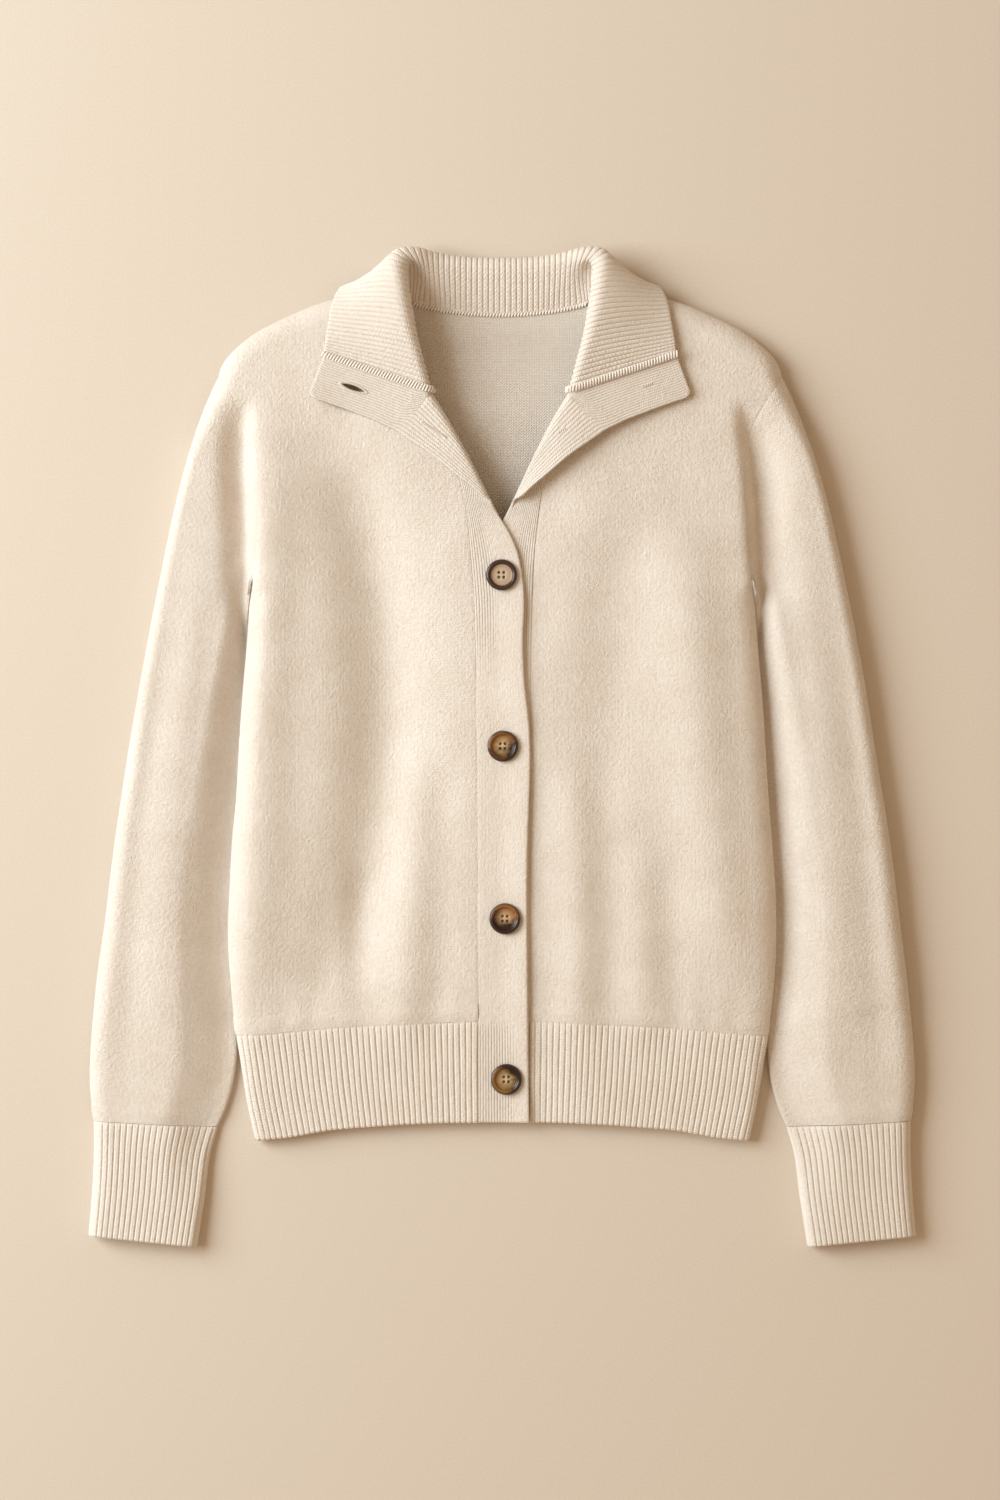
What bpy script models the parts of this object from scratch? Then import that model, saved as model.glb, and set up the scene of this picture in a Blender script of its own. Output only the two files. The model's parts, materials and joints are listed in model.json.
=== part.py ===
"""A ribbed-collar button cardigan laid flat on its back, front upwards, collar towards +Y.

Every knitted piece is a closed wall of cloth. Its outer points lie on a surface worked out from the
tables below and its inner points lie one cloth thickness further in. Tables and lengths are in
millimetres; U is the distance from the centre line, so each table serves the left and right halves.
The wearer's right half lies at -X. The garment is centred on the origin and rests on Z = 0.
"""

import bmesh
import bpy
import numpy as np

MM = 0.001

# Driving dimensions
CLOTH = 2.0                # thickness of the knitted wall
SEAM_GAP = 0.3             # clearance between two pieces where they are sewn together
RIB_PITCH = 4.4            # width of one rib and one groove in the hem and the cuffs
RIB_RISE = 1.2             # how far a rib stands above its groove
COLLAR_LEAN = -1.5         # how far the collar and shoulders lie to one side of the body's centre line
UNDERARM_Y = 106.0         # where the side seam ends and the armhole starts
NECK_POINT = (72.0, 320.0)  # where the shoulder seam meets the neckline
OVERLAP_STEP = 2.6         # how much lower the under band lies than the top band
FRONT_ROLL = 24.0          # depth of the soft roll from the side seam up onto the front
FRONT_SHOULDER_ROLL = 20.0  # the same at the shoulder line
BACK_ROLL = 30.0           # depth of the curl from the side seam down onto the floor
BACK_SHOULDER_ROLL = 24.0  # the same at the shoulder line
SEAM_ROLL = 3.0            # depth over which front and back part to leave the seam gap
BACK_NECK_LIFT = 2.7       # how far the back neckline stands off the floor on the collar's turned edge
UNDERARM_BLEND = 45.0      # height above the underarm over which the side roll moves out to the sleeve's
NECK_CLEARING = 40.0       # how far the shoulder line's roll is moved up inside the neck opening
ROLL_NARROWING = {"y": (-330.0, -271.5, -200.0), "share": (0.45, 0.45, 1.0)}
LEAF_GAP = 0.7             # least clearance of the collar's leaves and the lapels over the front

# Side seam and hem side, from the hem's lower corner up to the underarm
BODY_SIDE = {
    "y": (-285.0, -254.0, -225.0, -209.0, -182.0, -146.0, -110.0, -74.0, -38.0, -2.0, 34.0, 70.0, 106.0),
    "u": (178.5, 185.0, 189.5, 192.0, 195.0, 197.5, 197.0, 195.0, 192.0, 190.0, 187.5, 184.5, 182.0),
}
# Armhole seam, from the underarm to the shoulder tip
ARMHOLE = {
    "u": (182.0, 177.5, 175.5, 174.5, 178.0, 190.0, 203.5),
    "y": (106.0, 135.0, 163.0, 192.0, 222.0, 246.0, 266.0),
}
# Shoulder line, from the shoulder tip to the neck point
SHOULDER = {
    "u": (203.5, 201.0, 196.0, 188.5, 177.0, 162.5, 148.5, 134.0, 120.0, 104.0, 88.0, 72.0),
    "y": (266.0, 273.5, 281.0, 288.5, 297.5, 305.5, 312.0, 318.0, 322.0, 323.5, 323.0, 320.0),
}
# Outer edge of the sleeve, from the shoulder tip to the cuff seam
SLEEVE_OUTER = {
    "u": (203.5, 211.0, 222.0, 231.0, 238.0, 250.0, 261.0, 270.5, 279.5, 286.5, 294.0, 298.0, 295.0),
    "y": (266.0, 250.0, 221.0, 192.0, 163.5, 106.0, 48.0, -9.5, -67.0, -124.5, -182.0, -240.0, -270.5),
}
# Inner edge of the sleeve, from the underarm to the cuff seam; most of it lies under the body's curl
SLEEVE_INNER = {
    "u": (182.6, 183.6, 183.4, 185.0, 188.0, 191.0, 193.5, 194.5, 192.5, 191.5, 194.0, 199.5, 205.5),
    "y": (105.5, 88.0, 62.0, 34.0, -8.0, -52.0, -96.0, -146.0, -190.0, -220.0, -242.0, -262.0, -275.5),
}
# Cuff, from its seam to its open end
CUFF_OUTER = {"u": (295.0, 295.0, 296.5, 299.0), "y": (-270.5, -297.5, -326.0, -354.0)}
CUFF_INNER = {"u": (205.5, 211.0, 215.0, 220.5), "y": (-275.5, -295.0, -326.0, -362.0)}
# Seam between each front and its band, from the hem up to the corner of the neckline
BAND_SEAM = {
    "y": (-272.0, -198.5, -85.0, 8.5, 98.5, 134.5, 174.0, 192.0, 221.0, 252.0),
    "top": (17.5, 17.5, 17.5, 18.5, 20.0, 22.5, 26.5, 30.0, 38.5, 57.0),
    "under": (19.5, 19.5, 19.5, 20.0, 21.5, 23.0, 27.5, 31.0, 39.0, 57.0),
}
# Front neckline, from the band seam's upper end to the neck point
FRONT_NECK = {"u": (57.0, 63.2, 68.4, 71.0, 72.0), "y": (252.0, 275.0, 293.0, 308.0, 320.0)}
# Back neckline, from the neck point to the centre line
BACK_NECK = {"u": (72.0, 60.0, 47.0, 28.0, 0.0), "y": (320.0, 317.0, 314.0, 311.5, 310.0)}
# Hem: where the body's knit meets the ribbing, and the ribbing's lower edge
HEM_SEAM = {
    "u": (0.0, 17.5, 39.0, 75.0, 111.0, 147.0, 168.0, 192.0),
    "y": (-198.5, -198.5, -199.5, -201.0, -202.5, -205.5, -207.5, -209.0),
}
HEM_EDGE = {
    "u": (0.0, 39.0, 67.5, 96.5, 125.5, 154.0, 178.5),
    "y": (-272.0, -272.0, -273.0, -275.0, -277.5, -282.5, -285.0),
}
# Height of the front's highest layer and of the side seam, along the body
CROWN = {
    "y": (-290.0, -240.0, -200.0, -120.0, 0.0, 120.0, 200.0, 260.0, 330.0),
    "top": (9.5, 12.5, 15.0, 18.5, 20.0, 20.5, 20.0, 19.0, 17.5),
    "seam": (5.0, 6.5, 9.0, 11.0, 11.0, 11.0, 10.0, 8.5, 8.0),
}
# Height of the sleeve along its length, from the armhole (0) to the cuff's end (1)
SLEEVE_CROWN = {
    "s": (0.0, 0.2, 0.45, 0.7, 0.86, 1.0),
    "top": (20.0, 19.0, 19.5, 19.5, 17.5, 15.0),
    "seam": (9.0, 9.5, 9.5, 9.0, 8.0, 7.5),
}
# Soft folds of the front, one in each column: a ridge (or, with a negative rise, a trough) that runs
# down the wearer's right front (side -1) or left front (1)
FRONT_FOLDS = {
    "side": (-1, -1, -1, -1, -1, 1, 1, 1, 1, 1, 1),
    "y_top": (225, 205, -60, -80, -110, 150, 120, -50, -60, -100, -100),
    "y_low": (-165, -190, -210, -210, -212, -60, -30, -205, -205, -212, -212),
    "u_top": (150, 122, 70, 42, 100, 138, 162, 54, 82, 108, 130),
    "u_mid": (136, 94, 69, 42, 98, 140, 160, 54, 82, 106, 130),
    "u_low": (164, 130, 72, 44, 97, 146, 166, 52, 80, 104, 128),
    "half": (20, 20, 13, 11, 11, 18, 10, 14, 12, 12, 11),
    "rise": (2.2, -2.6, 1.8, -1.5, -1.6, 2.2, -2.0, 1.8, -1.6, 1.6, -1.5),
}
# Soft folds of the sleeves, across (0 at the inner edge, 1 at the outer) and along (0 armhole, 1 cuff)
SLEEVE_FOLDS = {
    "s_from": (0.1, 0.25, 0.45),
    "s_to": (0.95, 1.0, 1.05),
    "across_from": (0.62, 0.84, 0.4),
    "across_to": (0.48, 0.74, 0.26),
    "half": (0.14, 0.09, 0.08),
    "rise": (1.8, -1.5, -1.2),
}
# Collar sections from its front end (station 0) to the centre back. Each climbs from the neck seam,
# turns round a roll with the given centre, radius and angles, and falls to its edge. Angles are in
# degrees: "enter" and "leave" in the section's upright plane, "heading" of that plane and "start" of
# the cloth as it leaves the neck seam in plan, from straight out to the side (0) to straight up (90).
COLLAR = [
    {"neck": (56.2, 254.6, 17.2), "start": 196, "roll": (54.4, 256.5, 22.4), "r": 5.2, "enter": 270,
     "leave": 84, "heading": 19, "edge": (126.7, 280.8, 23.5)},
    {"neck": (61.9, 275.0, 17.0), "start": 192, "roll": (61.6, 279.1, 25.0), "r": 6.5, "enter": 268,
     "leave": 84, "heading": 17, "edge": (125.3, 293.0, 23.0)},
    {"neck": (66.7, 293.2, 16.8), "start": 188, "roll": (67.0, 296.4, 26.5), "r": 7.5, "enter": 262,
     "leave": 82, "heading": 15, "edge": (123.1, 306.0, 22.0)},
    {"neck": (68.5, 308.0, 15.6), "start": 182, "roll": (70.4, 312.1, 27.0), "r": 8.0, "enter": 255,
     "leave": 80, "heading": 13, "edge": (121.0, 317.5, 19.5)},
    {"neck": (69.0, 316.8, 11.6), "start": 168, "roll": (72.6, 325.0, 26.8), "r": 8.0, "enter": 245,
     "leave": 78, "heading": 12, "edge": (118.0, 326.2, 16.0)},
    {"neck": (69.6, 321.5, 8.4), "start": 135, "roll": (73.7, 336.5, 26.2), "r": 8.0, "enter": 228,
     "leave": 70, "heading": 14, "edge": (113.0, 331.5, 11.0)},
    {"neck": (69.0, 320.6, 7.6), "start": 110, "roll": (73.5, 346.0, 24.6), "r": 7.5, "enter": 205,
     "leave": 52, "heading": 20, "edge": (98.0, 334.0, 6.5)},
    {"neck": (65.0, 319.4, 6.8), "start": 100, "roll": (69.5, 351.5, 21.5), "r": 7.0, "enter": 172,
     "leave": 16, "heading": 38, "edge": (83.0, 330.0, 3.2)},
    {"neck": (59.0, 317.6, 5.4), "start": 95, "roll": (59.0, 351.8, 17.5), "r": 7.0, "enter": 140,
     "leave": -30, "heading": 70, "edge": (66.0, 323.5, 1.2)},
    {"neck": (47.0, 314.8, 4.9), "start": 92, "roll": (48.0, 348.8, 12.5), "r": 7.0, "enter": 116,
     "leave": -70, "heading": 86, "edge": (48.5, 319.0, 0.2)},
    {"neck": (28.0, 312.2, 4.8), "start": 90, "roll": (28.0, 345.2, 8.6), "r": 7.4, "enter": 108,
     "leave": -88, "heading": 90, "edge": (28.0, 316.6, 0.0)},
    {"neck": (0.0, 310.7, 4.8), "start": 90, "roll": (0.0, 344.1, 7.6), "r": 7.6, "enter": 105,
     "leave": -90, "heading": 90, "edge": (0.0, 315.4, 0.0)},
]
# Turned-back part of each band, for points up the band seam: the fold, the free edge, the radius of
# the fold's roll, the angle at which the cloth leaves it and how high the free edge stands off
LAPEL = {
    "seam_y": (162.0, 174.0, 184.0, 194.0, 208.0, 224.0, 239.0, 252.0),
    "fold_u": (0.5, 5.0, 9.0, 13.0, 19.5, 28.5, 38.5, 47.6),
    "fold_y": (162.5, 171.5, 179.0, 187.0, 200.5, 218.0, 236.5, 251.0),
    "free_u": (0.5, 5.5, 11.5, 20.0, 33.0, 48.0, 61.0, 71.5),
    "free_y": (162.0, 170.0, 176.5, 184.5, 194.5, 205.0, 213.0, 219.5),
    "roll": (3.2, 3.2, 3.3, 3.5, 3.8, 4.4, 4.9, 5.2),
    "leave": (262.0, 215.0, 150.0, 105.0, 95.0, 90.0, 88.0, 86.0),
    "lift": (0.5, 1.5, 3.0, 3.0, 2.6, 2.0, 1.6, 1.4),
}
# Free edge of the lapel beside the collar's end section: one point for each of that section's points,
# and one more before the last, at LAPEL_LAST_SHARE of that step, which rounds the lapel's corner
LAPEL_END = {
    "u": (71.5, 73.0, 74.5, 76.5, 79.0, 82.0, 104.0, 125.0, 133.6, 136.8),
    "y": (219.5, 220.8, 221.8, 223.0, 224.3, 225.8, 236.0, 245.0, 248.6, 253.8),
    "lift": (1.4, 1.4, 1.4, 1.3, 1.3, 1.2, 1.0, 0.9, 0.9, 0.9),
}
LAPEL_LAST_SHARE = 0.72
# How far each band's free edge lies past the body's centre line, below the turned-back part
BAND_FREE = {
    "y": (-272.0, -198.5, -85.0, 5.0, 48.0, 77.0, 106.0, 134.5, 150.0, 162.0),
    "top": (19.5, 18.5, 18.0, 20.0, 15.8, 15.0, 15.8, 12.2, 6.6, -0.2),
    "under": (14.5, 14.5, 14.5, 14.5, 14.5, 14.0, 12.5, 9.0, 5.0, -0.2),
}
BUTTONS = [
    {"x": -0.5, "y": 122.5},
    {"x": 0.5, "y": -0.5},
    {"x": 2.0, "y": -124.5},
    {"x": 3.0, "y": -240.5},
]
# Turned profile of a button from its axis outwards, over the rim and back under
BUTTON_PROFILE = {
    "radius": (0.0, 6.6, 8.0, 9.4, 10.8, 11.5, 10.4, 7.5, 0.0),
    "height": (2.0, 2.1, 2.9, 3.6, 3.2, 2.2, 0.8, 0.0, 0.0),
}
BUTTON_SIDES = 20
BUTTON_HOLES = 4
BUTTON_HOLE_RADIUS = 1.1
BUTTON_HOLE_OFFSET = 2.2   # from the button's axis to the middle of each hole
BUTTON_PEG_LENGTH = 12.0
BUTTON_PEG_SIDES = 6

SHARP_ANGLE = np.radians(50.0)
LOOK_UP_CURVES = {}        # smooth curves already made from the tables

# Where the walls are sampled
FRONT_COLUMNS = (0.0, 0.12, 0.25, 0.38, 0.51, 0.63, 0.74, 0.84, 0.91, 0.96, 0.99, 1.0)
BODY_ROWS_BELOW = (0.0, 0.1, 0.26, 0.44, 0.62, 0.8, 0.94, 1.0)
ARMHOLE_ROWS = (0.0, 0.03, 0.09, 0.2, 0.3, 0.42, 0.54, 0.7, 0.83, 0.92, 0.975, 1.0)
NECK_CORNER_ROW = 0.54     # the armhole row level with the corner between band seam and neckline
BACK_COLUMNS = (0.0, 0.16, 0.34, 0.52, 0.7, 0.85, 0.94, 0.985, 1.0)
UNDERARM_SHARE = 0.62      # share of the way up a body panel at which the armhole starts
NECK_CORNER_SHARE = UNDERARM_SHARE + (1.0 - UNDERARM_SHARE) * NECK_CORNER_ROW
SLEEVE_ROWS = (0.0, 0.015, 0.04, 0.08, 0.14, 0.22, 0.31, 0.4, 0.5, 0.6, 0.7, 0.8, 0.9, 1.0)
ELBOW_ROW = 0.5            # the sleeve row at which its upper and lower tubes meet
HEM_ROWS = (0.0, 0.33, 0.67, 1.0)
CUFF_ROWS = (0.0, 0.4, 0.75, 1.0)
CUFF_RIB_EDGES = (0.035, 0.965)  # where the cuff's ribs begin and end across its upper face
CUFF_UNDER_COLUMNS = (0.985, 0.93, 0.8, 0.5, 0.2, 0.07, 0.015)
COLLAR_STAND_SHARES = (0.0, 0.5)
COLLAR_ROLL_SHARES = (0.0, 0.33, 0.67, 1.0)
COLLAR_FALL_SHARES = (0.33, 0.67, 1.0)
BAND_HEM_ROWS = (-272.0, -248.0, -224.0)
BAND_FOLD_LIMITS = (0.16, 0.84)  # where across the band the group of three fold points may lie
BAND_FOLD_HALF = 0.13      # how far the outer two of them lie from the middle one
LAPEL_START_Y = 158.0      # above this height on its seam the band turns back
LAPEL_FOLDED_BELOW = 150.0  # a fold that leaves at less than this angle reaches over onto the front
COLLAR_RIBS = 84
CUFF_RIBS = 19

# Sleeve
ARMHOLE_GAP = 0.5          # clearance between body and sleeve at the armhole seam
SLEEVE_ARMHOLE_FADE = 0.16  # share of the sleeve over which it leaves the armhole's own form
SLEEVE_LENGTH = 540.0
SLEEVE_FRONT_ROLL = 20.0
SLEEVE_BACK_ROLL = 16.0
SLEEVE_FOLD_RADIUS = 2.5   # radius of the tube's fold along its inner edge
SLEEVE_INNER_RAMP = 34.0   # how far the tube climbs from that fold to its full height
SLEEVE_INNER_BEND = 1.12   # makes the cross lines of the sleeve slope down towards its inner edge
CUFF_CROWN = {             # height, side seam, fold radius and ramp of the cuff from its seam to its end
    "c": (0.0, 1.0),
    "top": (15.0, 13.0),
    "seam": (7.5, 6.5),
    "fold": (2.5, 4.0),
    "ramp": (34.0, 24.0),
}
CUFF_TOP_ROLL = 14.0       # rolls that round the cuff's inner edge at its open end
CUFF_UNDER_ROLL = 8.0

COLOURS = {
    "wool_knit": (0.74, 0.64, 0.53, 1.0),
    "wool_rib": (0.72, 0.62, 0.50, 1.0),
    "horn_button": (0.20, 0.10, 0.045, 1.0),
}


# ---------------------------------------------------------------- curves and tables

def smooth_curve(points, steps=12):
    """Dense points of a smooth curve (centripetal Catmull-Rom) through the given points."""
    points = np.asarray(points, float)
    ends = np.vstack([2 * points[0] - points[1], points, 2 * points[-1] - points[-2]])
    dense = []
    for i in range(1, len(ends) - 2):
        p0, p1, p2, p3 = ends[i - 1:i + 3]
        spans = [max(np.linalg.norm(b - a), 1e-6) ** 0.5 for a, b in ((p0, p1), (p1, p2), (p2, p3))]
        t = np.cumsum([0.0] + spans)
        for k in range(steps):
            x = t[1] + (t[2] - t[1]) * k / steps
            a1 = (t[1] - x) / (t[1] - t[0]) * p0 + (x - t[0]) / (t[1] - t[0]) * p1
            a2 = (t[2] - x) / (t[2] - t[1]) * p1 + (x - t[1]) / (t[2] - t[1]) * p2
            a3 = (t[3] - x) / (t[3] - t[2]) * p2 + (x - t[2]) / (t[3] - t[2]) * p3
            b1 = (t[2] - x) / (t[2] - t[0]) * a1 + (x - t[0]) / (t[2] - t[0]) * a2
            b2 = (t[3] - x) / (t[3] - t[1]) * a2 + (x - t[1]) / (t[3] - t[1]) * a3
            dense.append((t[2] - x) / (t[2] - t[1]) * b1 + (x - t[1]) / (t[2] - t[1]) * b2)
    dense.append(points[-1])
    return np.array(dense)


def along(dense, share):
    """Point of a dense curve at a share of its length (an array of shares gives an array of points)."""
    dense = np.asarray(dense, float)
    lengths = np.concatenate([[0.0], np.cumsum(np.linalg.norm(np.diff(dense, axis=0), axis=1))])
    share = np.asarray(share, float) * lengths[-1]
    return np.stack([np.interp(share, lengths, dense[:, k]) for k in range(dense.shape[1])], axis=-1)


def table_rows(table):
    """A table of named columns as a list with one dictionary for each of its entries."""
    return [dict(zip(table, entry)) for entry in zip(*table.values())]


def table_curve(table, first="u", second="y"):
    return smooth_curve(list(zip(table[first], table[second])))


def look_up(table, key, column, value):
    """Smooth value of a table's column where its key column has the given value."""
    curve = LOOK_UP_CURVES.get((id(table), key, column))
    if curve is None:
        curve = smooth_curve(list(zip(table[key], table[column])))
        if curve[0, 0] > curve[-1, 0]:
            curve = curve[::-1]
        LOOK_UP_CURVES[(id(table), key, column)] = curve
    return np.interp(value, curve[:, 0], curve[:, 1])


def soft_step(value):
    value = np.clip(value, 0.0, 1.0)
    return value * value * (3.0 - 2.0 * value)


def roll_up(distance, radius):
    """Rise of a soft roll, 0 on the seam and 1 from one radius in, with an upright start."""
    inward = 1.0 - np.clip(distance / radius, 0.0, 1.0)
    return np.sqrt(np.clip(1.0 - inward * inward, 0.0, 1.0))


# ---------------------------------------------------------------- heights of the laid-out body

def side_distance(u, y):
    """Distance in from the side silhouette: the side seam, or past the underarm the sleeve's outer edge."""
    body = look_up(BODY_SIDE, "y", "u", np.minimum(y, UNDERARM_Y))
    sleeve = look_up(SLEEVE_OUTER, "y", "u", np.maximum(y, UNDERARM_Y))
    limit = body + (sleeve - body) * soft_step((y - UNDERARM_Y) / UNDERARM_BLEND)
    return limit - u


def shoulder_distance(u, y):
    """Distance in from the shoulder line, measured square to it; inside the neck there is no such edge."""
    level = look_up(SHOULDER, "u", "y", u) + NECK_CLEARING * soft_step((NECK_POINT[0] - u) / 30.0)
    slope = (look_up(SHOULDER, "u", "y", u + 1.0) - look_up(SHOULDER, "u", "y", u - 1.0)) / 2.0
    return (level - y) / np.sqrt(1.0 + slope * slope)


def fold_rise(x, y):
    """Height that the front's soft folds add."""
    rise = 0.0
    for fold in table_rows(FRONT_FOLDS):
        middle = (fold["y_top"] + fold["y_low"]) / 2.0
        half_length = (fold["y_top"] - fold["y_low"]) / 2.0
        t = (y - middle) / half_length
        u = fold["u_mid"] + (fold["u_top"] - fold["u_low"]) / 2.0 * t
        u = u + ((fold["u_top"] + fold["u_low"]) / 2.0 - fold["u_mid"]) * t * t
        fade = soft_step((1.0 - np.abs(t)) / 0.35)
        rise = rise + fold["rise"] * fade * np.exp(-((x * fold["side"] - u) / fold["half"]) ** 2)
    return rise


def front_height(x, y):
    """Height of the front's upper face."""
    u = np.abs(x)
    seam = look_up(CROWN, "y", "seam", y)
    top = look_up(CROWN, "y", "top", y) + fold_rise(x, y)
    roll = FRONT_ROLL * np.interp(y, ROLL_NARROWING["y"], ROLL_NARROWING["share"])
    rise = roll_up(side_distance(u, y), roll) * roll_up(shoulder_distance(u, y), FRONT_SHOULDER_ROLL)
    step = OVERLAP_STEP * (1.0 - soft_step((x - 19.0) / 42.0)) * (1.0 - soft_step((y - 165.0) / 50.0))
    return seam + (top - seam) * rise - np.where(x > 0.0, step, 0.0)


def back_height(x, y):
    """Height of the back's under face, which rests on the floor but for its curled edges."""
    u = np.abs(x)
    seam = look_up(CROWN, "y", "seam", y)
    roll = BACK_ROLL * np.interp(y, ROLL_NARROWING["y"], ROLL_NARROWING["share"])
    flat = roll_up(side_distance(u, y), roll) * roll_up(shoulder_distance(u, y), BACK_SHOULDER_ROLL)
    neck = soft_step((y - 282.0) / 26.0) * soft_step((86.0 - u) / 20.0)
    return seam * (1.0 - flat) + BACK_NECK_LIFT * neck * flat


def seam_parting(x, y):
    """1 where front and back meet at the side and shoulder seams, falling to 0 a short way in."""
    u = np.abs(x)
    return 1.0 - roll_up(side_distance(u, y), SEAM_ROLL) * roll_up(shoulder_distance(u, y), SEAM_ROLL)


def height_normals(height, points, up=1.0):
    """Unit normals of a height surface at the points of a grid; up is -1 for an under face."""
    step = 0.05
    x, y = points[..., 0], points[..., 1]
    slope_x = (height(x + step, y) - height(x - step, y)) / (2 * step)
    slope_y = (height(x, y + step) - height(x, y - step)) / (2 * step)
    normals = np.stack([-slope_x, -slope_y, np.ones_like(slope_x)], axis=-1) * up
    return normals / np.linalg.norm(normals, axis=-1, keepdims=True)


def grid_normals(grid, closed=False):
    """Unit normals of a grid of points from its own neighbours; closed wraps the second axis."""
    along_rows = np.gradient(grid, axis=0)
    if closed:
        along_columns = (np.roll(grid, -1, axis=1) - np.roll(grid, 1, axis=1)) / 2.0
    else:
        along_columns = np.gradient(grid, axis=1)
    normals = np.cross(along_columns, along_rows)
    return normals / np.linalg.norm(normals, axis=-1, keepdims=True)


def square_to_seam(normals, across):
    """Normals with the part that points across a seam taken out, so the wall ends square to it."""
    across = across / np.linalg.norm(across, axis=-1, keepdims=True)
    normals = normals - np.sum(normals * across, axis=-1, keepdims=True) * across
    return normals / np.linalg.norm(normals, axis=-1, keepdims=True)


def outward_of(curve_points):
    """Level unit vectors square to a line of plan points, on the right of its direction."""
    run = np.gradient(curve_points[:, :2], axis=0)
    out = np.stack([run[:, 1], -run[:, 0], np.zeros(len(run))], axis=-1)
    return out / np.linalg.norm(out, axis=-1, keepdims=True)


def coons(bottom, top, left, right, columns, rows):
    """Plan grid that blends four boundary curves, each given as a function of a 0-1 share."""
    u = np.asarray(columns)[None, :, None]
    v = np.asarray(rows)[:, None, None]
    low, high = bottom(np.asarray(columns))[None], top(np.asarray(columns))[None]
    near, far = left(np.asarray(rows))[:, None], right(np.asarray(rows))[:, None]
    corners = ((1 - u) * (1 - v) * low[:, :1] + u * (1 - v) * low[:, -1:]
               + (1 - u) * v * high[:, :1] + u * v * high[:, -1:])
    return (1 - v) * low + v * high + (1 - u) * near + u * far - corners


# ---------------------------------------------------------------- solids

def new_solid(name, vertices, faces, material):
    """One closed mesh object, with its faces turned outwards."""
    bm = bmesh.new()
    vertices = np.array(vertices, float)
    vertices[:, 0] += COLLAR_LEAN * soft_step((vertices[:, 1] - 150.0) / 110.0)
    verts = [bm.verts.new(vertex * MM) for vertex in vertices]
    for face in faces:
        bm.faces.new([verts[i] for i in face])
    bmesh.ops.triangulate(bm, faces=bm.faces[:])
    bmesh.ops.recalc_face_normals(bm, faces=bm.faces[:])
    mesh = bpy.data.meshes.new(name)
    bm.to_mesh(mesh)
    bm.free()
    mesh.shade_smooth()
    mesh.set_sharp_from_angle(angle=SHARP_ANGLE)
    solid = bpy.data.objects.new(name, mesh)
    solid.data.materials.append(material)
    bpy.data.collections["button_cardigan"].objects.link(solid)
    return solid


def wall(name, outer, inner, material, closed=False):
    """Closed wall between an outer grid and an inner one.

    The inner grid has as many rows, and either as many columns or one for every second outer column.
    """
    rows, columns = outer.shape[:2]
    inner_columns = inner.shape[1]
    spans = columns if closed else columns - 1
    inner_spans = inner_columns if closed else inner_columns - 1
    ratio = spans // inner_spans
    vertices = np.concatenate([outer.reshape(-1, 3), inner.reshape(-1, 3)])

    def out(i, j):
        return i * columns + j % columns

    def inn(i, j):
        return rows * columns + i * inner_columns + j % inner_columns

    faces = []
    for i in range(rows - 1):
        for j in range(spans):
            faces.append((out(i, j), out(i, j + 1), out(i + 1, j + 1), out(i + 1, j)))
        for j in range(inner_spans):
            faces.append((inn(i, j), inn(i + 1, j), inn(i + 1, j + 1), inn(i, j + 1)))
        if not closed:
            faces.append((out(i, 0), out(i + 1, 0), inn(i + 1, 0), inn(i, 0)))
            faces.append((out(i, spans), inn(i, inner_spans), inn(i + 1, inner_spans), out(i + 1, spans)))
    for i in (0, rows - 1):
        for j in range(inner_spans):
            first = j * ratio
            if ratio == 1:
                faces.append((out(i, j), inn(i, j), inn(i, j + 1), out(i, j + 1)))
            else:
                faces.append((out(i, first), inn(i, j), out(i, first + 1)))
                faces.append((out(i, first + 1), inn(i, j), inn(i, j + 1)))
                faces.append((out(i, first + 1), inn(i, j + 1), out(i, first + 2)))
    return new_solid(name, vertices, faces, material)


def wall_of_height(name, plan, height, material, up=1.0, rib_columns=False, seams=()):
    """Wall whose outer face is a height surface over a plan grid.

    seams lists (index, across, upright): the grid's part, the level directions across its seam, and
    whether the wall stands upright there, as it does round a side roll.
    """
    points = np.concatenate([plan, height(plan[..., 0], plan[..., 1])[..., None]], axis=-1)
    normals = height_normals(height, points, up)
    for index, across, upright in seams:
        if upright:
            normals[index] = across
        else:
            normals[index] = square_to_seam(normals[index], across)
    outer = points.copy()
    if rib_columns:
        relief = RIB_RISE * (np.arange(plan.shape[1]) % 2)
        outer = points + normals * relief[None, :, None]
        points = points[:, ::2]
        normals = normals[:, ::2]
    inner = points - normals * CLOTH
    return wall(name, outer, inner, material)


# ---------------------------------------------------------------- body

def mirrored(points, side):
    """Plan points of a table (u, y) placed on one side: -1 for the wearer's right, 1 for the left."""
    points = np.array(points, float)
    points[..., 0] *= side
    return points


def body_rows():
    """Shares up the body, with one group of rows below the underarm and one beside the armhole."""
    below = [UNDERARM_SHARE * share for share in BODY_ROWS_BELOW[:-1]]
    above = [UNDERARM_SHARE + (1.0 - UNDERARM_SHARE) * share for share in ARMHOLE_ROWS]
    return np.array(below + above)


def side_curve(shift):
    """Side seam and armhole as a function of the share up the body, moved in by shift."""
    seam = [(u, y) for y, u in zip(BODY_SIDE["y"], BODY_SIDE["u"]) if y > -209.5]
    seam[0] = (seam[0][0], seam[0][1] + shift)
    below, above = smooth_curve(seam), table_curve(ARMHOLE)

    def curve(share):
        low = along(below, np.clip(share / UNDERARM_SHARE, 0.0, 1.0))
        high = along(above, np.clip((share - UNDERARM_SHARE) / (1.0 - UNDERARM_SHARE), 0.0, 1.0))
        points = np.where((share <= UNDERARM_SHARE)[:, None], low, high)
        inset = np.where(share > UNDERARM_SHARE, shift, 0.0)
        points[:, 0] -= inset
        return points
    return curve


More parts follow.
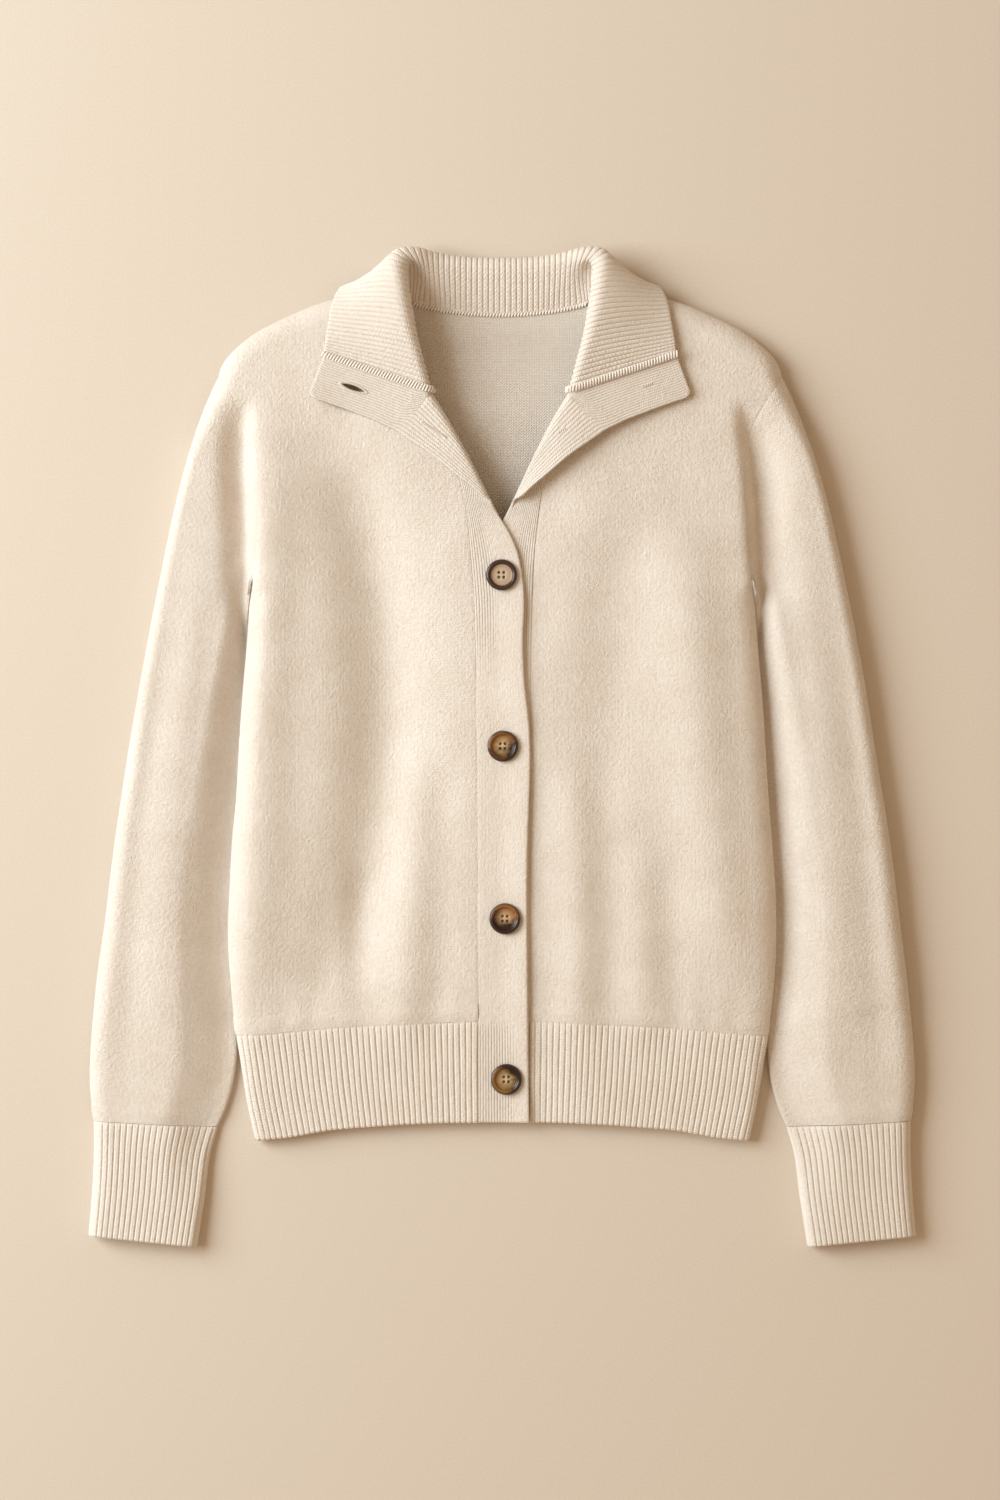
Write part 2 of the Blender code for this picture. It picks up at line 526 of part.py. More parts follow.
def front_plan(side):
    """Plan grid of one front, from the band seam (column 0) to the side (last column)."""
    half_gap = SEAM_GAP / 2.0
    which = "top" if side < 0 else "under"
    seam = [(u, y) for u, y in zip(BAND_SEAM[which], BAND_SEAM["y"]) if y > -199.0]
    hem = [(u, y) for u, y in zip(HEM_SEAM["u"], HEM_SEAM["y"])]
    hem_curve = smooth_curve(hem)
    first = seam[0][0] + half_gap
    columns = np.array(FRONT_COLUMNS)

    def bottom(share):
        u = first + (HEM_SEAM["u"][-1] - first) * share
        return np.stack([u, np.interp(u, hem_curve[:, 0], hem_curve[:, 1]) + half_gap], axis=-1)

    def top(share):
        return along(table_curve(SHOULDER)[::-1], share)

    def left(share):
        climb = smooth_curve(seam)
        neck = table_curve(FRONT_NECK)
        split = NECK_CORNER_SHARE
        low = along(climb, np.clip(share / split, 0.0, 1.0))
        high = along(neck, np.clip((share - split) / (1.0 - split), 0.0, 1.0))
        points = np.where((share <= split)[:, None], low, high)
        points[:, 0] += half_gap * (1.0 - soft_step((share - 0.97) / 0.03))
        points[0] = bottom(np.array([0.0]))[0]
        points[-1] = top(np.array([0.0]))[0]
        return points

    plan = coons(bottom, top, left, side_curve(half_gap), columns, body_rows())
    return mirrored(plan, side)


def side_seams(plan, side, rows_upright):
    """Seam rules of a body panel's side column: upright on the side seam, square beside the armhole."""
    column = plan.shape[1] - 1 if side > 0 else 0
    across = outward_of(plan[:, column]) * (1.0 if side > 0 else -1.0)
    return [((slice(0, rows_upright), column), across[:rows_upright], True),
            ((slice(rows_upright, None), column), across[rows_upright:], False)]


def build_front(name, side, material):
    plan = front_plan(side)
    if side < 0:
        plan = plan[:, ::-1]
    rows_upright = len(BODY_ROWS_BELOW)
    up = np.zeros((plan.shape[1], 3)) + (0.0, 1.0, 0.0)
    top_across = outward_of(plan[-1]) * -1.0
    band_column = 0 if side > 0 else -1
    seams = [((0, slice(None)), up, False)]
    seams.append(((slice(None), band_column), outward_of(plan[:, band_column]), False))
    seams += side_seams(plan, side, rows_upright)
    seams.append(((plan.shape[0] - 1, slice(None)), top_across, True))

    def height(x, y):
        return front_height(x, y) + SEAM_GAP / 2.0 * seam_parting(x, y)
    return wall_of_height(name, plan, height, material, 1.0, False, seams)


def build_back(name, material):
    """Back panel: one wall from side to side, with the neckline cut into its upper edge."""
    half_gap = SEAM_GAP / 2.0
    rows = body_rows()
    half = np.array(BACK_COLUMNS)
    hem_curve = smooth_curve(list(zip(HEM_SEAM["u"], HEM_SEAM["y"])))
    top_line = np.concatenate([table_curve(BACK_NECK)[::-1], table_curve(SHOULDER)[::-1][1:]])

    def bottom(share):
        u = HEM_SEAM["u"][-1] * share
        return np.stack([u, np.interp(u, hem_curve[:, 0], hem_curve[:, 1]) + half_gap], axis=-1)

    def left(share):
        low = bottom(np.array([0.0]))[0]
        return low + (top_line[0] - low) * share[:, None]

    half_plan = coons(bottom, lambda share: along(top_line, share), left, side_curve(half_gap), half, rows)
    plan = np.concatenate([mirrored(half_plan[:, ::-1], -1), mirrored(half_plan[:, 1:], 1)], axis=1)
    rows_upright = len(BODY_ROWS_BELOW)
    seams = [((0, slice(None)), np.zeros((plan.shape[1], 3)) + (0.0, 1.0, 0.0), False)]
    seams += side_seams(plan, -1, rows_upright) + side_seams(plan, 1, rows_upright)
    neck = np.abs(plan[-1, :, 0]) < NECK_POINT[0] - 1.0
    across = outward_of(plan[-1]) * -1.0
    last = plan.shape[0] - 1
    seams.append(((last, np.flatnonzero(neck)), across[neck], False))
    seams.append(((last, np.flatnonzero(~neck)), across[~neck], True))

    def height(x, y):
        return back_height(x, y) - SEAM_GAP / 2.0 * seam_parting(x, y) * (np.abs(x) > NECK_POINT[0] - 2.0)
    return wall_of_height(name, plan, height, material, -1.0, False, seams)


# ---------------------------------------------------------------- ribbed hem

def hem_plan(columns, first, last_lower, lower_by):
    """Plan grid (u, y) of the ribbing, from its lower edge to the hem seam."""
    half_gap = SEAM_GAP / 2.0
    edge, seam = table_curve(HEM_EDGE), table_curve(HEM_SEAM)
    rows = np.array(HEM_ROWS)[:, None]
    level = np.interp(HEM_SEAM["u"][-1], seam[:, 0], seam[:, 1])
    side = look_up(BODY_SIDE, "y", "u", last_lower + (level - last_lower) * rows)
    u = first + (side - first) * np.asarray(columns)[None, :]
    low = np.interp(u, edge[:, 0], edge[:, 1]) - lower_by
    high = np.interp(u, seam[:, 0], seam[:, 1]) - half_gap
    return np.stack([u, low + (high - low) * rows], axis=-1)


def build_front_hem(name, side, material):
    which = "top" if side < 0 else "under"
    first = BAND_SEAM[which][0] + SEAM_GAP / 2.0
    ribs = round((HEM_SEAM["u"][-1] - first) / RIB_PITCH)
    plan = mirrored(hem_plan(np.linspace(0.0, 1.0, 2 * ribs + 1), first, HEM_EDGE["y"][-1], 0.0), side)
    if side < 0:
        plan = plan[:, ::-1]
    upward = np.zeros((plan.shape[1], 3)) + (0.0, 1.0, 0.0)
    outward = np.zeros((plan.shape[0], 3)) + (side * 1.0, 0.0, 0.0)
    side_column, band_column = (-1, 0) if side > 0 else (0, -1)
    seams = [((0, slice(None)), upward, False), ((-1, slice(None)), upward, False),
             ((slice(None), band_column), outward, False), ((slice(None), side_column), outward, True)]

    def height(x, y):
        return front_height(x, y) + SEAM_GAP / 2.0 * seam_parting(x, y)
    return wall_of_height(name, plan, height, material, 1.0, True, seams)


def build_back_hem(name, material):
    half = hem_plan(BACK_COLUMNS, 0.0, HEM_EDGE["y"][-1], 1.2)
    plan = np.concatenate([mirrored(half[:, ::-1], -1), mirrored(half[:, 1:], 1)], axis=1)
    upward = np.zeros((plan.shape[1], 3)) + (0.0, 1.0, 0.0)
    outward = np.zeros((plan.shape[0], 3)) + (1.0, 0.0, 0.0)
    seams = [((0, slice(None)), upward, False), ((-1, slice(None)), upward, False),
             ((slice(None), 0), -outward, True), ((slice(None), -1), outward, True)]

    def height(x, y):
        return back_height(x, y) - SEAM_GAP / 2.0 * seam_parting(x, y)
    return wall_of_height(name, plan, height, material, -1.0, False, seams)


# ---------------------------------------------------------------- sleeves and cuffs

def sleeve_fold_rise(across, s):
    rise = 0.0
    for fold in table_rows(SLEEVE_FOLDS):
        t = np.clip((s - fold["s_from"]) / (fold["s_to"] - fold["s_from"]), 0.0, 1.0)
        middle = fold["across_from"] + (fold["across_to"] - fold["across_from"]) * t
        fade = soft_step(t / 0.3) * soft_step((1.0 - t) / 0.25 + 0.2)
        rise = rise + fold["rise"] * fade * np.exp(-((across - middle) / fold["half"]) ** 2)
    return rise


def tube_heights(across, width, top, seam, ramp, fold_radius, rounding):
    """Upper and lower face of a flattened tube, at shares across it from the inner to the outer edge.

    rounding turns the inner edge from a low ramp (0) into a roll like the outer edge's (1).
    """
    outer, inner = (1.0 - across) * width, across * width
    crown = seam + (top - seam) * roll_up(outer, SLEEVE_FRONT_ROLL)
    edge = 2.0 * fold_radius
    ramped = soft_step((inner - fold_radius) / ramp)
    climb = (1.0 - rounding) * ramped + rounding * roll_up(inner, CUFF_TOP_ROLL)
    upper = edge + (crown - edge) * climb
    lower = seam * (1.0 - roll_up(outer, SLEEVE_BACK_ROLL))
    lower = lower + rounding * fold_radius * (1.0 - roll_up(inner, CUFF_UNDER_ROLL))
    upper = np.where(across <= 0.0, fold_radius, upper)
    lower = np.where(across <= 0.0, fold_radius, lower)
    return upper, lower


def sleeve_grid(side):
    """Outer points of a sleeve: rows from the armhole to the cuff, columns once round the tube."""
    half_gap = SEAM_GAP / 2.0
    across = np.array(ARMHOLE_ROWS)
    armhole = along(table_curve(ARMHOLE), across) + (ARMHOLE_GAP - half_gap, 0.0)
    outer_curve, inner_curve = table_curve(SLEEVE_OUTER), table_curve(SLEEVE_INNER)
    rows = []
    for s in SLEEVE_ROWS:
        reach = s - (half_gap / SLEEVE_LENGTH if s == 1.0 else 0.0)
        outer, inner = along(outer_curve, reach), along(inner_curve, reach ** SLEEVE_INNER_BEND)
        plan = inner + (outer - inner) * across[:, None]
        start = along(outer_curve, 0.0), along(inner_curve, 0.0)
        fade = 1.0 - soft_step(s / SLEEVE_ARMHOLE_FADE)
        plan = plan + (armhole - (start[1] + (start[0] - start[1]) * across[:, None])) * fade
        width = np.linalg.norm(outer - inner)
        top = np.interp(s, SLEEVE_CROWN["s"], SLEEVE_CROWN["top"]) + sleeve_fold_rise(across, s)
        seam = np.interp(s, SLEEVE_CROWN["s"], SLEEVE_CROWN["seam"])
        upper, lower = tube_heights(across, width, top, seam, SLEEVE_INNER_RAMP, SLEEVE_FOLD_RADIUS, 0.0)
        first_width = np.linalg.norm(start[0] - start[1])
        first_top = SLEEVE_CROWN["top"][0] + sleeve_fold_rise(across, 0.0)
        first = tube_heights(across, first_width, first_top, SLEEVE_CROWN["seam"][0], SLEEVE_INNER_RAMP,
                             SLEEVE_FOLD_RADIUS, 0.0)
        upper = upper + (front_height(side * armhole[:, 0], armhole[:, 1]) - first[0]) * fade
        lower = lower + (back_height(side * armhole[:, 0], armhole[:, 1]) - first[1]) * fade
        upper[-1] = lower[-1] = (upper[-1] + lower[-1]) / 2.0
        upper[0] = lower[0] = (upper[0] + lower[0]) / 2.0
        ring = [(u * side, y, z) for (u, y), z in zip(plan, upper)]
        ring += [(u * side, y, z) for (u, y), z in list(zip(plan, lower))[-2:0:-1]]
        rows.append(ring)
    return np.array(rows)


def outward_normals(grid, closed, sample, towards):
    """Grid normals turned so that the one at the sample index points towards the given direction."""
    normals = grid_normals(grid, closed)
    return normals if np.dot(normals[sample], towards) > 0.0 else -normals


def parted(grid, row, towards):
    """Grid whose end row is moved by half a seam gap towards the row beside it."""
    step = grid[towards] - grid[row]
    grid = grid.copy()
    grid[row] += step / np.linalg.norm(step, axis=-1, keepdims=True) * SEAM_GAP / 2.0
    return grid


def build_sleeve(wearer, side, material):
    """Sleeve as two open tubes that meet at the elbow, each straight enough to stay hollow by itself."""
    grid = sleeve_grid(side)
    middle_top = len(ARMHOLE_ROWS) // 2
    normals = outward_normals(grid, True, (6, middle_top), (0.0, 0.0, 1.0))
    count = len(ARMHOLE_ROWS)
    armhole_out = outward_of(grid[0, :count])
    across = np.concatenate([armhole_out, armhole_out[-2:0:-1]])
    normals[0, 1:] = square_to_seam(normals[0, 1:], across[1:])
    end = grid[-1, count - 1] - grid[-1, 0]
    normals[-1] = square_to_seam(normals[-1], np.zeros((grid.shape[1], 3)) + (end[1], -end[0], 0.0))
    inner = grid - normals * CLOTH
    elbow = SLEEVE_ROWS.index(ELBOW_ROW)
    upper, lower = slice(0, elbow + 1), slice(elbow, None)
    wall("upper_sleeve_" + wearer, parted(grid[upper], -1, -2), parted(inner[upper], -1, -2), material, True)
    wall("lower_sleeve_" + wearer, parted(grid[lower], 0, 1), parted(inner[lower], 0, 1), material, True)


def build_cuff(name, side, material):
    """Ribbed cuff: raised ribs on its upper face, plain where it rests."""
    outer_curve, inner_curve = table_curve(CUFF_OUTER), table_curve(CUFF_INNER)
    ribs = np.linspace(*CUFF_RIB_EDGES, 2 * CUFF_RIBS + 1)
    across = np.concatenate([[0.0], ribs, [1.0]])
    under = np.array(CUFF_UNDER_COLUMNS)
    relief = np.concatenate([[0.0], RIB_RISE * (np.arange(len(ribs)) % 2), [0.0], np.zeros(len(under))])
    rows = []
    for c in CUFF_ROWS:
        outer, inner = along(outer_curve, c), along(inner_curve, c)
        width = np.linalg.norm(outer - inner)
        top, seam, fold, ramp = (np.interp(c, CUFF_CROWN["c"], CUFF_CROWN[column])
                                 for column in ("top", "seam", "fold", "ramp"))
        upper = tube_heights(across, width, top, seam, ramp, fold, c)[0]
        lower = tube_heights(under, width, top, seam, ramp, fold, c)[1]
        rows.append([(*(inner + (outer - inner) * q), z) for q, z in zip(across, upper)]
                    + [(*(inner + (outer - inner) * q), z) for q, z in zip(under, lower)])
    grid = np.array(rows)
    along_cuff = grid[1, 0] - grid[0, 0]
    grid[0] += along_cuff / np.linalg.norm(along_cuff) * SEAM_GAP * (1.0, 1.0, 0.0)
    grid[..., 0] *= side
    normals = outward_normals(grid, True, (1, len(across) // 2), (0.0, 0.0, 1.0))
    for row in (0, -1):
        end = grid[row, len(across) - 1] - grid[row, 0]
        normals[row] = square_to_seam(normals[row], np.zeros((grid.shape[1], 3)) + (end[1], -end[0], 0.0))
    outer_points = grid + normals * relief[None, :, None]
    return wall(name, outer_points, grid - normals * CLOTH, material, True)


# ---------------------------------------------------------------- collar

def table_at(stations, values, t):
    """Smooth value at t of a quantity given at stations, by cubic pieces with even slopes."""
    values = np.asarray(values, float)
    slopes = np.gradient(values, stations, axis=0)
    i = np.clip(np.searchsorted(stations, t) - 1, 0, len(stations) - 2)
    span = stations[i + 1] - stations[i]
    x = (t - stations[i]) / span
    return ((1 + 2 * x) * (1 - x) ** 2 * values[i] + x * (1 - x) ** 2 * span * slopes[i]
            + x * x * (3 - 2 * x) * values[i + 1] + x * x * (x - 1) * span * slopes[i + 1])


def collar_stations():
    """Distances of the collar's stations along its roll, with mirror stations past the centre back."""
    rows = COLLAR + COLLAR[-2:-4:-1]
    centres = np.array([row["roll"][:2] for row in rows])
    centres[len(COLLAR):, 0] *= -1.0
    steps = np.linalg.norm(np.diff(centres, axis=0), axis=1)
    return rows, np.concatenate([[0.0], np.cumsum(steps)])


def hermite(start, start_run, end, end_run, t):
    t = np.asarray(t)[:, None]
    return ((1 + 2 * t) * (1 - t) ** 2 * start + t * (1 - t) ** 2 * start_run
            + t * t * (3 - 2 * t) * end + t * t * (t - 1) * end_run)


def collar_section(t):
    """Points (u, y, z) of the collar's visible face across one section, at distance t from its end."""
    rows, stations = collar_stations()
    mirror = np.array([1.0] * len(COLLAR) + [-1.0] * (len(rows) - len(COLLAR)))

    def vector(column):
        values = np.array([row[column] for row in rows])
        values[:, 0] *= mirror
        return table_at(stations, values, t)

    def angle(column, middle=None):
        values = np.array([row[column] for row in rows], float)
        if middle is not None:
            values = np.where(mirror < 0, 2 * middle - values, values)
        return np.radians(table_at(stations, values, t))

    neck, centre, edge = vector("neck"), vector("roll"), vector("edge")
    heading, start = angle("heading", 90.0), angle("start", 90.0)
    enter, leave = angle("enter"), angle("leave")
    radius = table_at(stations, np.array([row["r"] for row in rows]), t)
    level = np.array([np.cos(heading), np.sin(heading), 0.0])
    upright = np.array([0.0, 0.0, 1.0])
    turn = enter + (leave - enter) * np.array(COLLAR_ROLL_SHARES)[:, None]
    arc = centre + radius * (np.cos(turn) * level + np.sin(turn) * upright)
    run_in = np.sin(enter) * level - np.cos(enter) * upright
    run_out = np.sin(leave) * level - np.cos(leave) * upright
    climb, fall = np.linalg.norm(arc[0] - neck), np.linalg.norm(edge - arc[-1])
    away = np.array([np.cos(start), np.sin(start), 0.35])
    stand = hermite(neck, away * climb, arc[0], run_in * climb, COLLAR_STAND_SHARES)
    leaf = hermite(arc[-1], run_out * fall, edge, (edge - arc[-1]) * 0.9, COLLAR_FALL_SHARES)
    return np.concatenate([stand, arc, rest_on_front(leaf)])


def rest_on_front(points, side=-1):
    """Points raised, where needed, to lie one cloth and a small gap above the front."""
    u, y = points[:, 0], points[:, 1]
    floor = front_height(side * u, y) + CLOTH + LEAF_GAP
    beside_neck = soft_step((u - look_up(FRONT_NECK, "y", "u", y)) / 6.0 + 1.0)
    over_front = beside_neck * (shoulder_distance(u, y) > -4.0)
    return np.column_stack([u, y, points[:, 2] + np.maximum(floor - points[:, 2], 0.0) * over_front])


def build_collar(name, material):
    stations = collar_stations()[1]
    half_length = stations[len(COLLAR) - 1]
    first = SEAM_GAP / 2.0
    columns = np.linspace(first, half_length, COLLAR_RIBS + 1)
    left = np.array([collar_section(t) for t in columns]).transpose(1, 0, 2)
    right = left[:, -2::-1].copy()
    left[..., 0] *= -1.0
    grid = np.concatenate([left, right], axis=1)
    normals = outward_normals(grid, False, (4, 10), (0.0, 0.0, 1.0))
    for column, step in ((0, 1), (-1, -1)):
        ahead = grid[:, column + step] - grid[:, column]
        normals[:, column] = square_to_seam(normals[:, column], ahead)
    neck_away = np.diff(grid[:2], axis=0)[0] * (1.0, 1.0, 0.0)
    normals[0] = square_to_seam(normals[0], neck_away)
    relief = RIB_RISE * (np.arange(grid.shape[1]) % 2) * soft_step((grid[..., 2] - 1.0) / 6.0)
    outer = grid + normals * relief[..., None]
    return wall(name, outer, (grid - normals * CLOTH)[:, ::2], material)


# ---------------------------------------------------------------- bands

def band_path(seam, fold, free, radius, leave, lift, side):
    """Dense points of a turned-back section on the band's inner face, with the fold's place on it.

    Returns the points, the fold's share of their length, and the roll's centre and heading.
    """
    def under_face(u, y):
        return front_height(side * np.abs(u), y) - CLOTH

    to_seam, to_free = seam[:2] - fold, free - fold
    inward = to_seam / np.linalg.norm(to_seam)
    if leave < LAPEL_FOLDED_BELOW:
        inward = inward + to_free / np.linalg.norm(to_free)
        inward = inward / np.linalg.norm(inward)
    centre = fold + inward * radius
    base = under_face(*fold)
    flat = seam[:2] + (centre - seam[:2]) * np.linspace(0.0, 1.0, 9)[:-1, None]
    lower = np.column_stack([flat, under_face(flat[:, 0], flat[:, 1])])
    turn = np.radians(np.linspace(270.0, leave, 13))
    arc_plan = centre + inward * radius * np.cos(turn)[:, None]
    arc = np.column_stack([arc_plan, base + radius * (1.0 + np.sin(turn))])
    path = [lower, arc]
    if leave < LAPEL_FOLDED_BELOW:
        height = front_height(side * free[0], free[1]) + CLOTH + lift
        end = np.array([*free, height])
        path.append(arc[-1] + (end - arc[-1]) * np.linspace(0.0, 1.0, 9)[1:, None])
    path = np.concatenate(path)
    lengths = np.concatenate([[0.0], np.cumsum(np.linalg.norm(np.diff(path, axis=0), axis=1))])
    roll = np.array([*centre, base + radius]), np.arctan2(inward[1], inward[0])
    return path, lengths[len(lower) + len(arc) // 2] / lengths[-1], roll


def band_shares(fold_share):
    """Shares across a band at which it is sampled, closer together round its fold."""
    fold = np.clip(fold_share, *BAND_FOLD_LIMITS)
    before, after = fold - BAND_FOLD_HALF, fold + BAND_FOLD_HALF
    return np.array([0.0, before / 2.0, before, fold, after, (1.0 + after) / 2.0, 1.0])


def band_grid(side):
    """Inner-face points of a band: rows from the hem up and out along the lapel, columns across."""
    which = "top" if side < 0 else "under"
    front = front_plan(side)[:, 0]
    corner_row = len(BODY_ROWS_BELOW) - 1 + ARMHOLE_ROWS.index(NECK_CORNER_ROW)
    hem_points = [(BAND_SEAM[which][0], y) for y in BAND_HEM_ROWS]
    seam_points = hem_points + [(abs(x) - SEAM_GAP, y) for x, y in front[:corner_row + 1]]
    rows = []
    for u, y in seam_points:
        seam = np.array([u, y, front_height(side * u, y) - CLOTH])
        if y < LAPEL_START_Y:
            past = look_up(BAND_FREE, "y", which, y)
            across = u + (-past - u) * band_shares(BAND_FOLD_LIMITS[1])
            level = np.full(len(across), y)
            under_face = front_height(side * np.maximum(np.abs(across), 0.01), level) - CLOTH
            rows.append(np.column_stack([across, level, under_face]))
            continue
        fold, free = (np.array([look_up(LAPEL, "seam_y", part + axis, y) for axis in ("_u", "_y")])
                      for part in ("fold", "free"))
        radius, leave, lift = (look_up(LAPEL, "seam_y", column, y) for column in ("roll", "leave", "lift"))
        path, fold_share, corner = band_path(seam, fold, free, radius, leave, lift, side)
        rows.append(along(path, band_shares(fold_share)))
    rows += lapel_end_rows(rows[-1], corner, side)
    return np.array(rows)


def lapel_turn_row(seam, corner, angle, free, side):
    """Dense points of a row that starts part way round the collar's roll and winds over onto the lapel.

    corner is the roll's centre and heading where it meets the neckline's corner.
    """
    first = COLLAR[0]
    bottom, top = np.radians(first["enter"]), np.radians(first["leave"])
    turn = np.linspace(angle, top, 9)[:, None]
    passed = (angle - turn) / (bottom - top)
    centre = np.array(first["roll"]) + (corner[0] - np.array(first["roll"])) * passed
    heading = np.radians(first["heading"]) + (corner[1] - np.radians(first["heading"])) * passed
    level = np.column_stack([np.cos(heading), np.sin(heading), np.zeros(len(heading))])
    arc = centre + first["r"] * (np.cos(turn) * level + np.sin(turn) * (0.0, 0.0, 1.0))
    arc += (seam - arc[0]) * np.linspace(1.0, 0.0, len(arc))[:, None]
    laid = arc[-1] + (free - arc[-1]) * np.linspace(0.0, 1.0, 9)[1:, None]
    return rest_on_front(np.concatenate([arc, laid]), side), len(arc) // 2


def lapel_seam():
    """Points of the lapel's seam with the collar's end, and the way onto the collar at each of them."""
    end, inside = collar_section(0.0), collar_section(3.0)
    ahead = (inside - end) / np.linalg.norm(inside - end, axis=-1, keepdims=True)
    seam = end - ahead * SEAM_GAP / 2.0
    extra = seam[-2] + (seam[-1] - seam[-2]) * LAPEL_LAST_SHARE
    return np.concatenate([seam[:-1], [extra], seam[-1:]]), np.concatenate([ahead[:-1], ahead[-2:]])


def lapel_end_rows(corner_row, corner, side):
    """Rows of the lapel beside the collar's end section, the first after the neckline's corner."""
    seam = lapel_seam()[0]
    free = np.column_stack([LAPEL_END["u"], LAPEL_END["y"]])
    height = front_height(side * free[:, 0], free[:, 1]) + CLOTH + np.array(LAPEL_END["lift"])
    free = np.column_stack([free, height])
    roll_start = len(COLLAR_STAND_SHARES)
    crest = roll_start + len(COLLAR_ROLL_SHARES) - 1
    rows = []
    for index in range(1, len(seam)):
        if index >= crest:
            shares = band_shares(0.0)[:, None]
            rows.append(rest_on_front(seam[index] + (free[index] - seam[index]) * shares, side))
            continue
        wound = COLLAR_ROLL_SHARES[max(index - roll_start, 0)]
        angle = np.radians(COLLAR[0]["enter"] + (COLLAR[0]["leave"] - COLLAR[0]["enter"]) * wound)
        path, fold = lapel_turn_row(seam[index], corner, angle, free[index], side)
        lengths = np.concatenate([[0.0], np.cumsum(np.linalg.norm(np.diff(path, axis=0), axis=1))])
        row = along(path, band_shares(lengths[fold] / lengths[-1]))
        if index < roll_start:
            row = row + (corner_row - row) * 0.5
            row[0] = seam[index]
        rows.append(row)
    return rows


def build_band(name, side, material):
    grid = band_grid(side)
    grid[..., 0] *= side
    normals = outward_normals(grid, False, (3, 2), (0.0, 0.0, -1.0))
    grid_run = np.gradient(grid[:, 0], axis=0)
    across = np.column_stack([grid_run[:, 1], -grid_run[:, 0], np.zeros(len(grid_run))])
    corner = len(grid) - len(LAPEL_END["u"]) + 1
    normals[:corner, 0] = square_to_seam(normals[:corner, 0], across[:corner])
    beyond = lapel_seam()[1][1:] * (side, 1.0, 1.0)
    normals[corner:, 0] = square_to_seam(normals[corner:, 0], beyond)
    return wall(name, grid, grid - normals * CLOTH, material)


# ---------------------------------------------------------------- buttons

def build_button(name, x, y, material):
    """Four-hole button, turned about an upright axis, its holes cut by four pegs."""
    mesh = bpy.data.meshes.new(name)
    profile = zip(BUTTON_PROFILE["radius"], BUTTON_PROFILE["height"])
    points = [(radius * MM, 0.0, height * MM) for radius, height in profile]
    mesh.from_pydata(points, [(i, i + 1) for i in range(len(points) - 1)], [])
    mesh.materials.append(material)
    button = bpy.data.objects.new(name, mesh)
    bpy.data.collections["button_cardigan"].objects.link(button)
    turn = np.linspace(0.0, 2.0 * np.pi, 13)
    rim = max(BUTTON_PROFILE["radius"])
    under_x, under_y = x + rim * np.cos(turn), y + rim * np.sin(turn)
    rest = front_height(-np.abs(under_x), under_y).max() + SEAM_GAP
    button.location = (x * MM, y * MM, rest * MM)
    turned = button.modifiers.new("turned", "SCREW")
    turned.steps = turned.render_steps = BUTTON_SIDES
    turned.use_merge_vertices = True
    turned.merge_threshold = 0.01 * MM
    pegs = bmesh.new()
    for i in range(BUTTON_HOLES):
        angle = (i + 0.5) * 2.0 * np.pi / BUTTON_HOLES
        offset = np.array([np.cos(angle), np.sin(angle), 0.0]) * BUTTON_HOLE_OFFSET * MM
        peg = bmesh.ops.create_cone(pegs, cap_ends=True, segments=BUTTON_PEG_SIDES,
                                    radius1=BUTTON_HOLE_RADIUS * MM, radius2=BUTTON_HOLE_RADIUS * MM,
                                    depth=BUTTON_PEG_LENGTH * MM)
        bmesh.ops.translate(pegs, verts=peg["verts"], vec=offset)
    peg_mesh = bpy.data.meshes.new(name + "_pegs")
    pegs.to_mesh(peg_mesh)
    pegs.free()
    cutter = bpy.data.objects.new(name + "_pegs", peg_mesh)
    cutter.location = button.location
    cutter.hide_render = True
    cutter.display_type = "WIRE"
    bpy.data.collections["cutters"].objects.link(cutter)
    holes = button.modifiers.new("holes", "BOOLEAN")
    holes.operation = "DIFFERENCE"
    holes.object = cutter
    return button


# ---------------------------------------------------------------- scene

def clear_scene():
    for leftover in list(bpy.data.objects):
        bpy.data.objects.remove(leftover, do_unlink=True)
    for name in ("button_cardigan", "cutters"):
        bpy.context.scene.collection.children.link(bpy.data.collections.new(name))


def make_materials():
    materials = {}
    for slot, colour in COLOURS.items():
        material = bpy.data.materials.new(slot)
        material.use_nodes = True
        shader = material.node_tree.nodes["Principled BSDF"]
        shader.inputs["Base Color"].default_value = colour
        shader.inputs["Roughness"].default_value = 0.25 if slot == "horn_button" else 0.9
        materials[slot] = material
    return materials


def centre_on_origin():
    """Moves the garment so that its box is centred on the origin and rests on Z = 0."""
    bpy.context.view_layer.update()
    depsgraph = bpy.context.evaluated_depsgraph_get()
    corners = []
    for solid in bpy.data.collections["button_cardigan"].objects:
        shown = solid.evaluated_get(depsgraph)
        corners += [shown.matrix_world @ vertex.co for vertex in shown.data.vertices]
    corners = np.array(corners)
    low, high = corners.min(axis=0), corners.max(axis=0)
    shift = np.array([-(low[0] + high[0]) / 2.0, -(low[1] + high[1]) / 2.0, -low[2]])
    for collection in ("button_cardigan", "cutters"):
        for solid in bpy.data.collections[collection].objects:
            solid.location = np.array(solid.location) + shift


def main():
    clear_scene()
    materials = make_materials()
    knit, rib, horn = materials["wool_knit"], materials["wool_rib"], materials["horn_button"]
    build_back("back_panel", knit)
    build_back_hem("back_hem_rib", rib)
    build_collar("collar", rib)
    for side, wearer in ((-1, "right"), (1, "left")):
        build_front("front_" + wearer, side, knit)
        build_front_hem("hem_rib_" + wearer, side, rib)
        build_band("band_" + wearer, side, rib)
        build_sleeve(wearer, side, knit)
        build_cuff("cuff_" + wearer, side, rib)
    for number, place in enumerate(BUTTONS, start=1):
        build_button(f"button_{number}", place["x"], place["y"], horn)
    centre_on_origin()


if __name__ == "__main__":
    main()
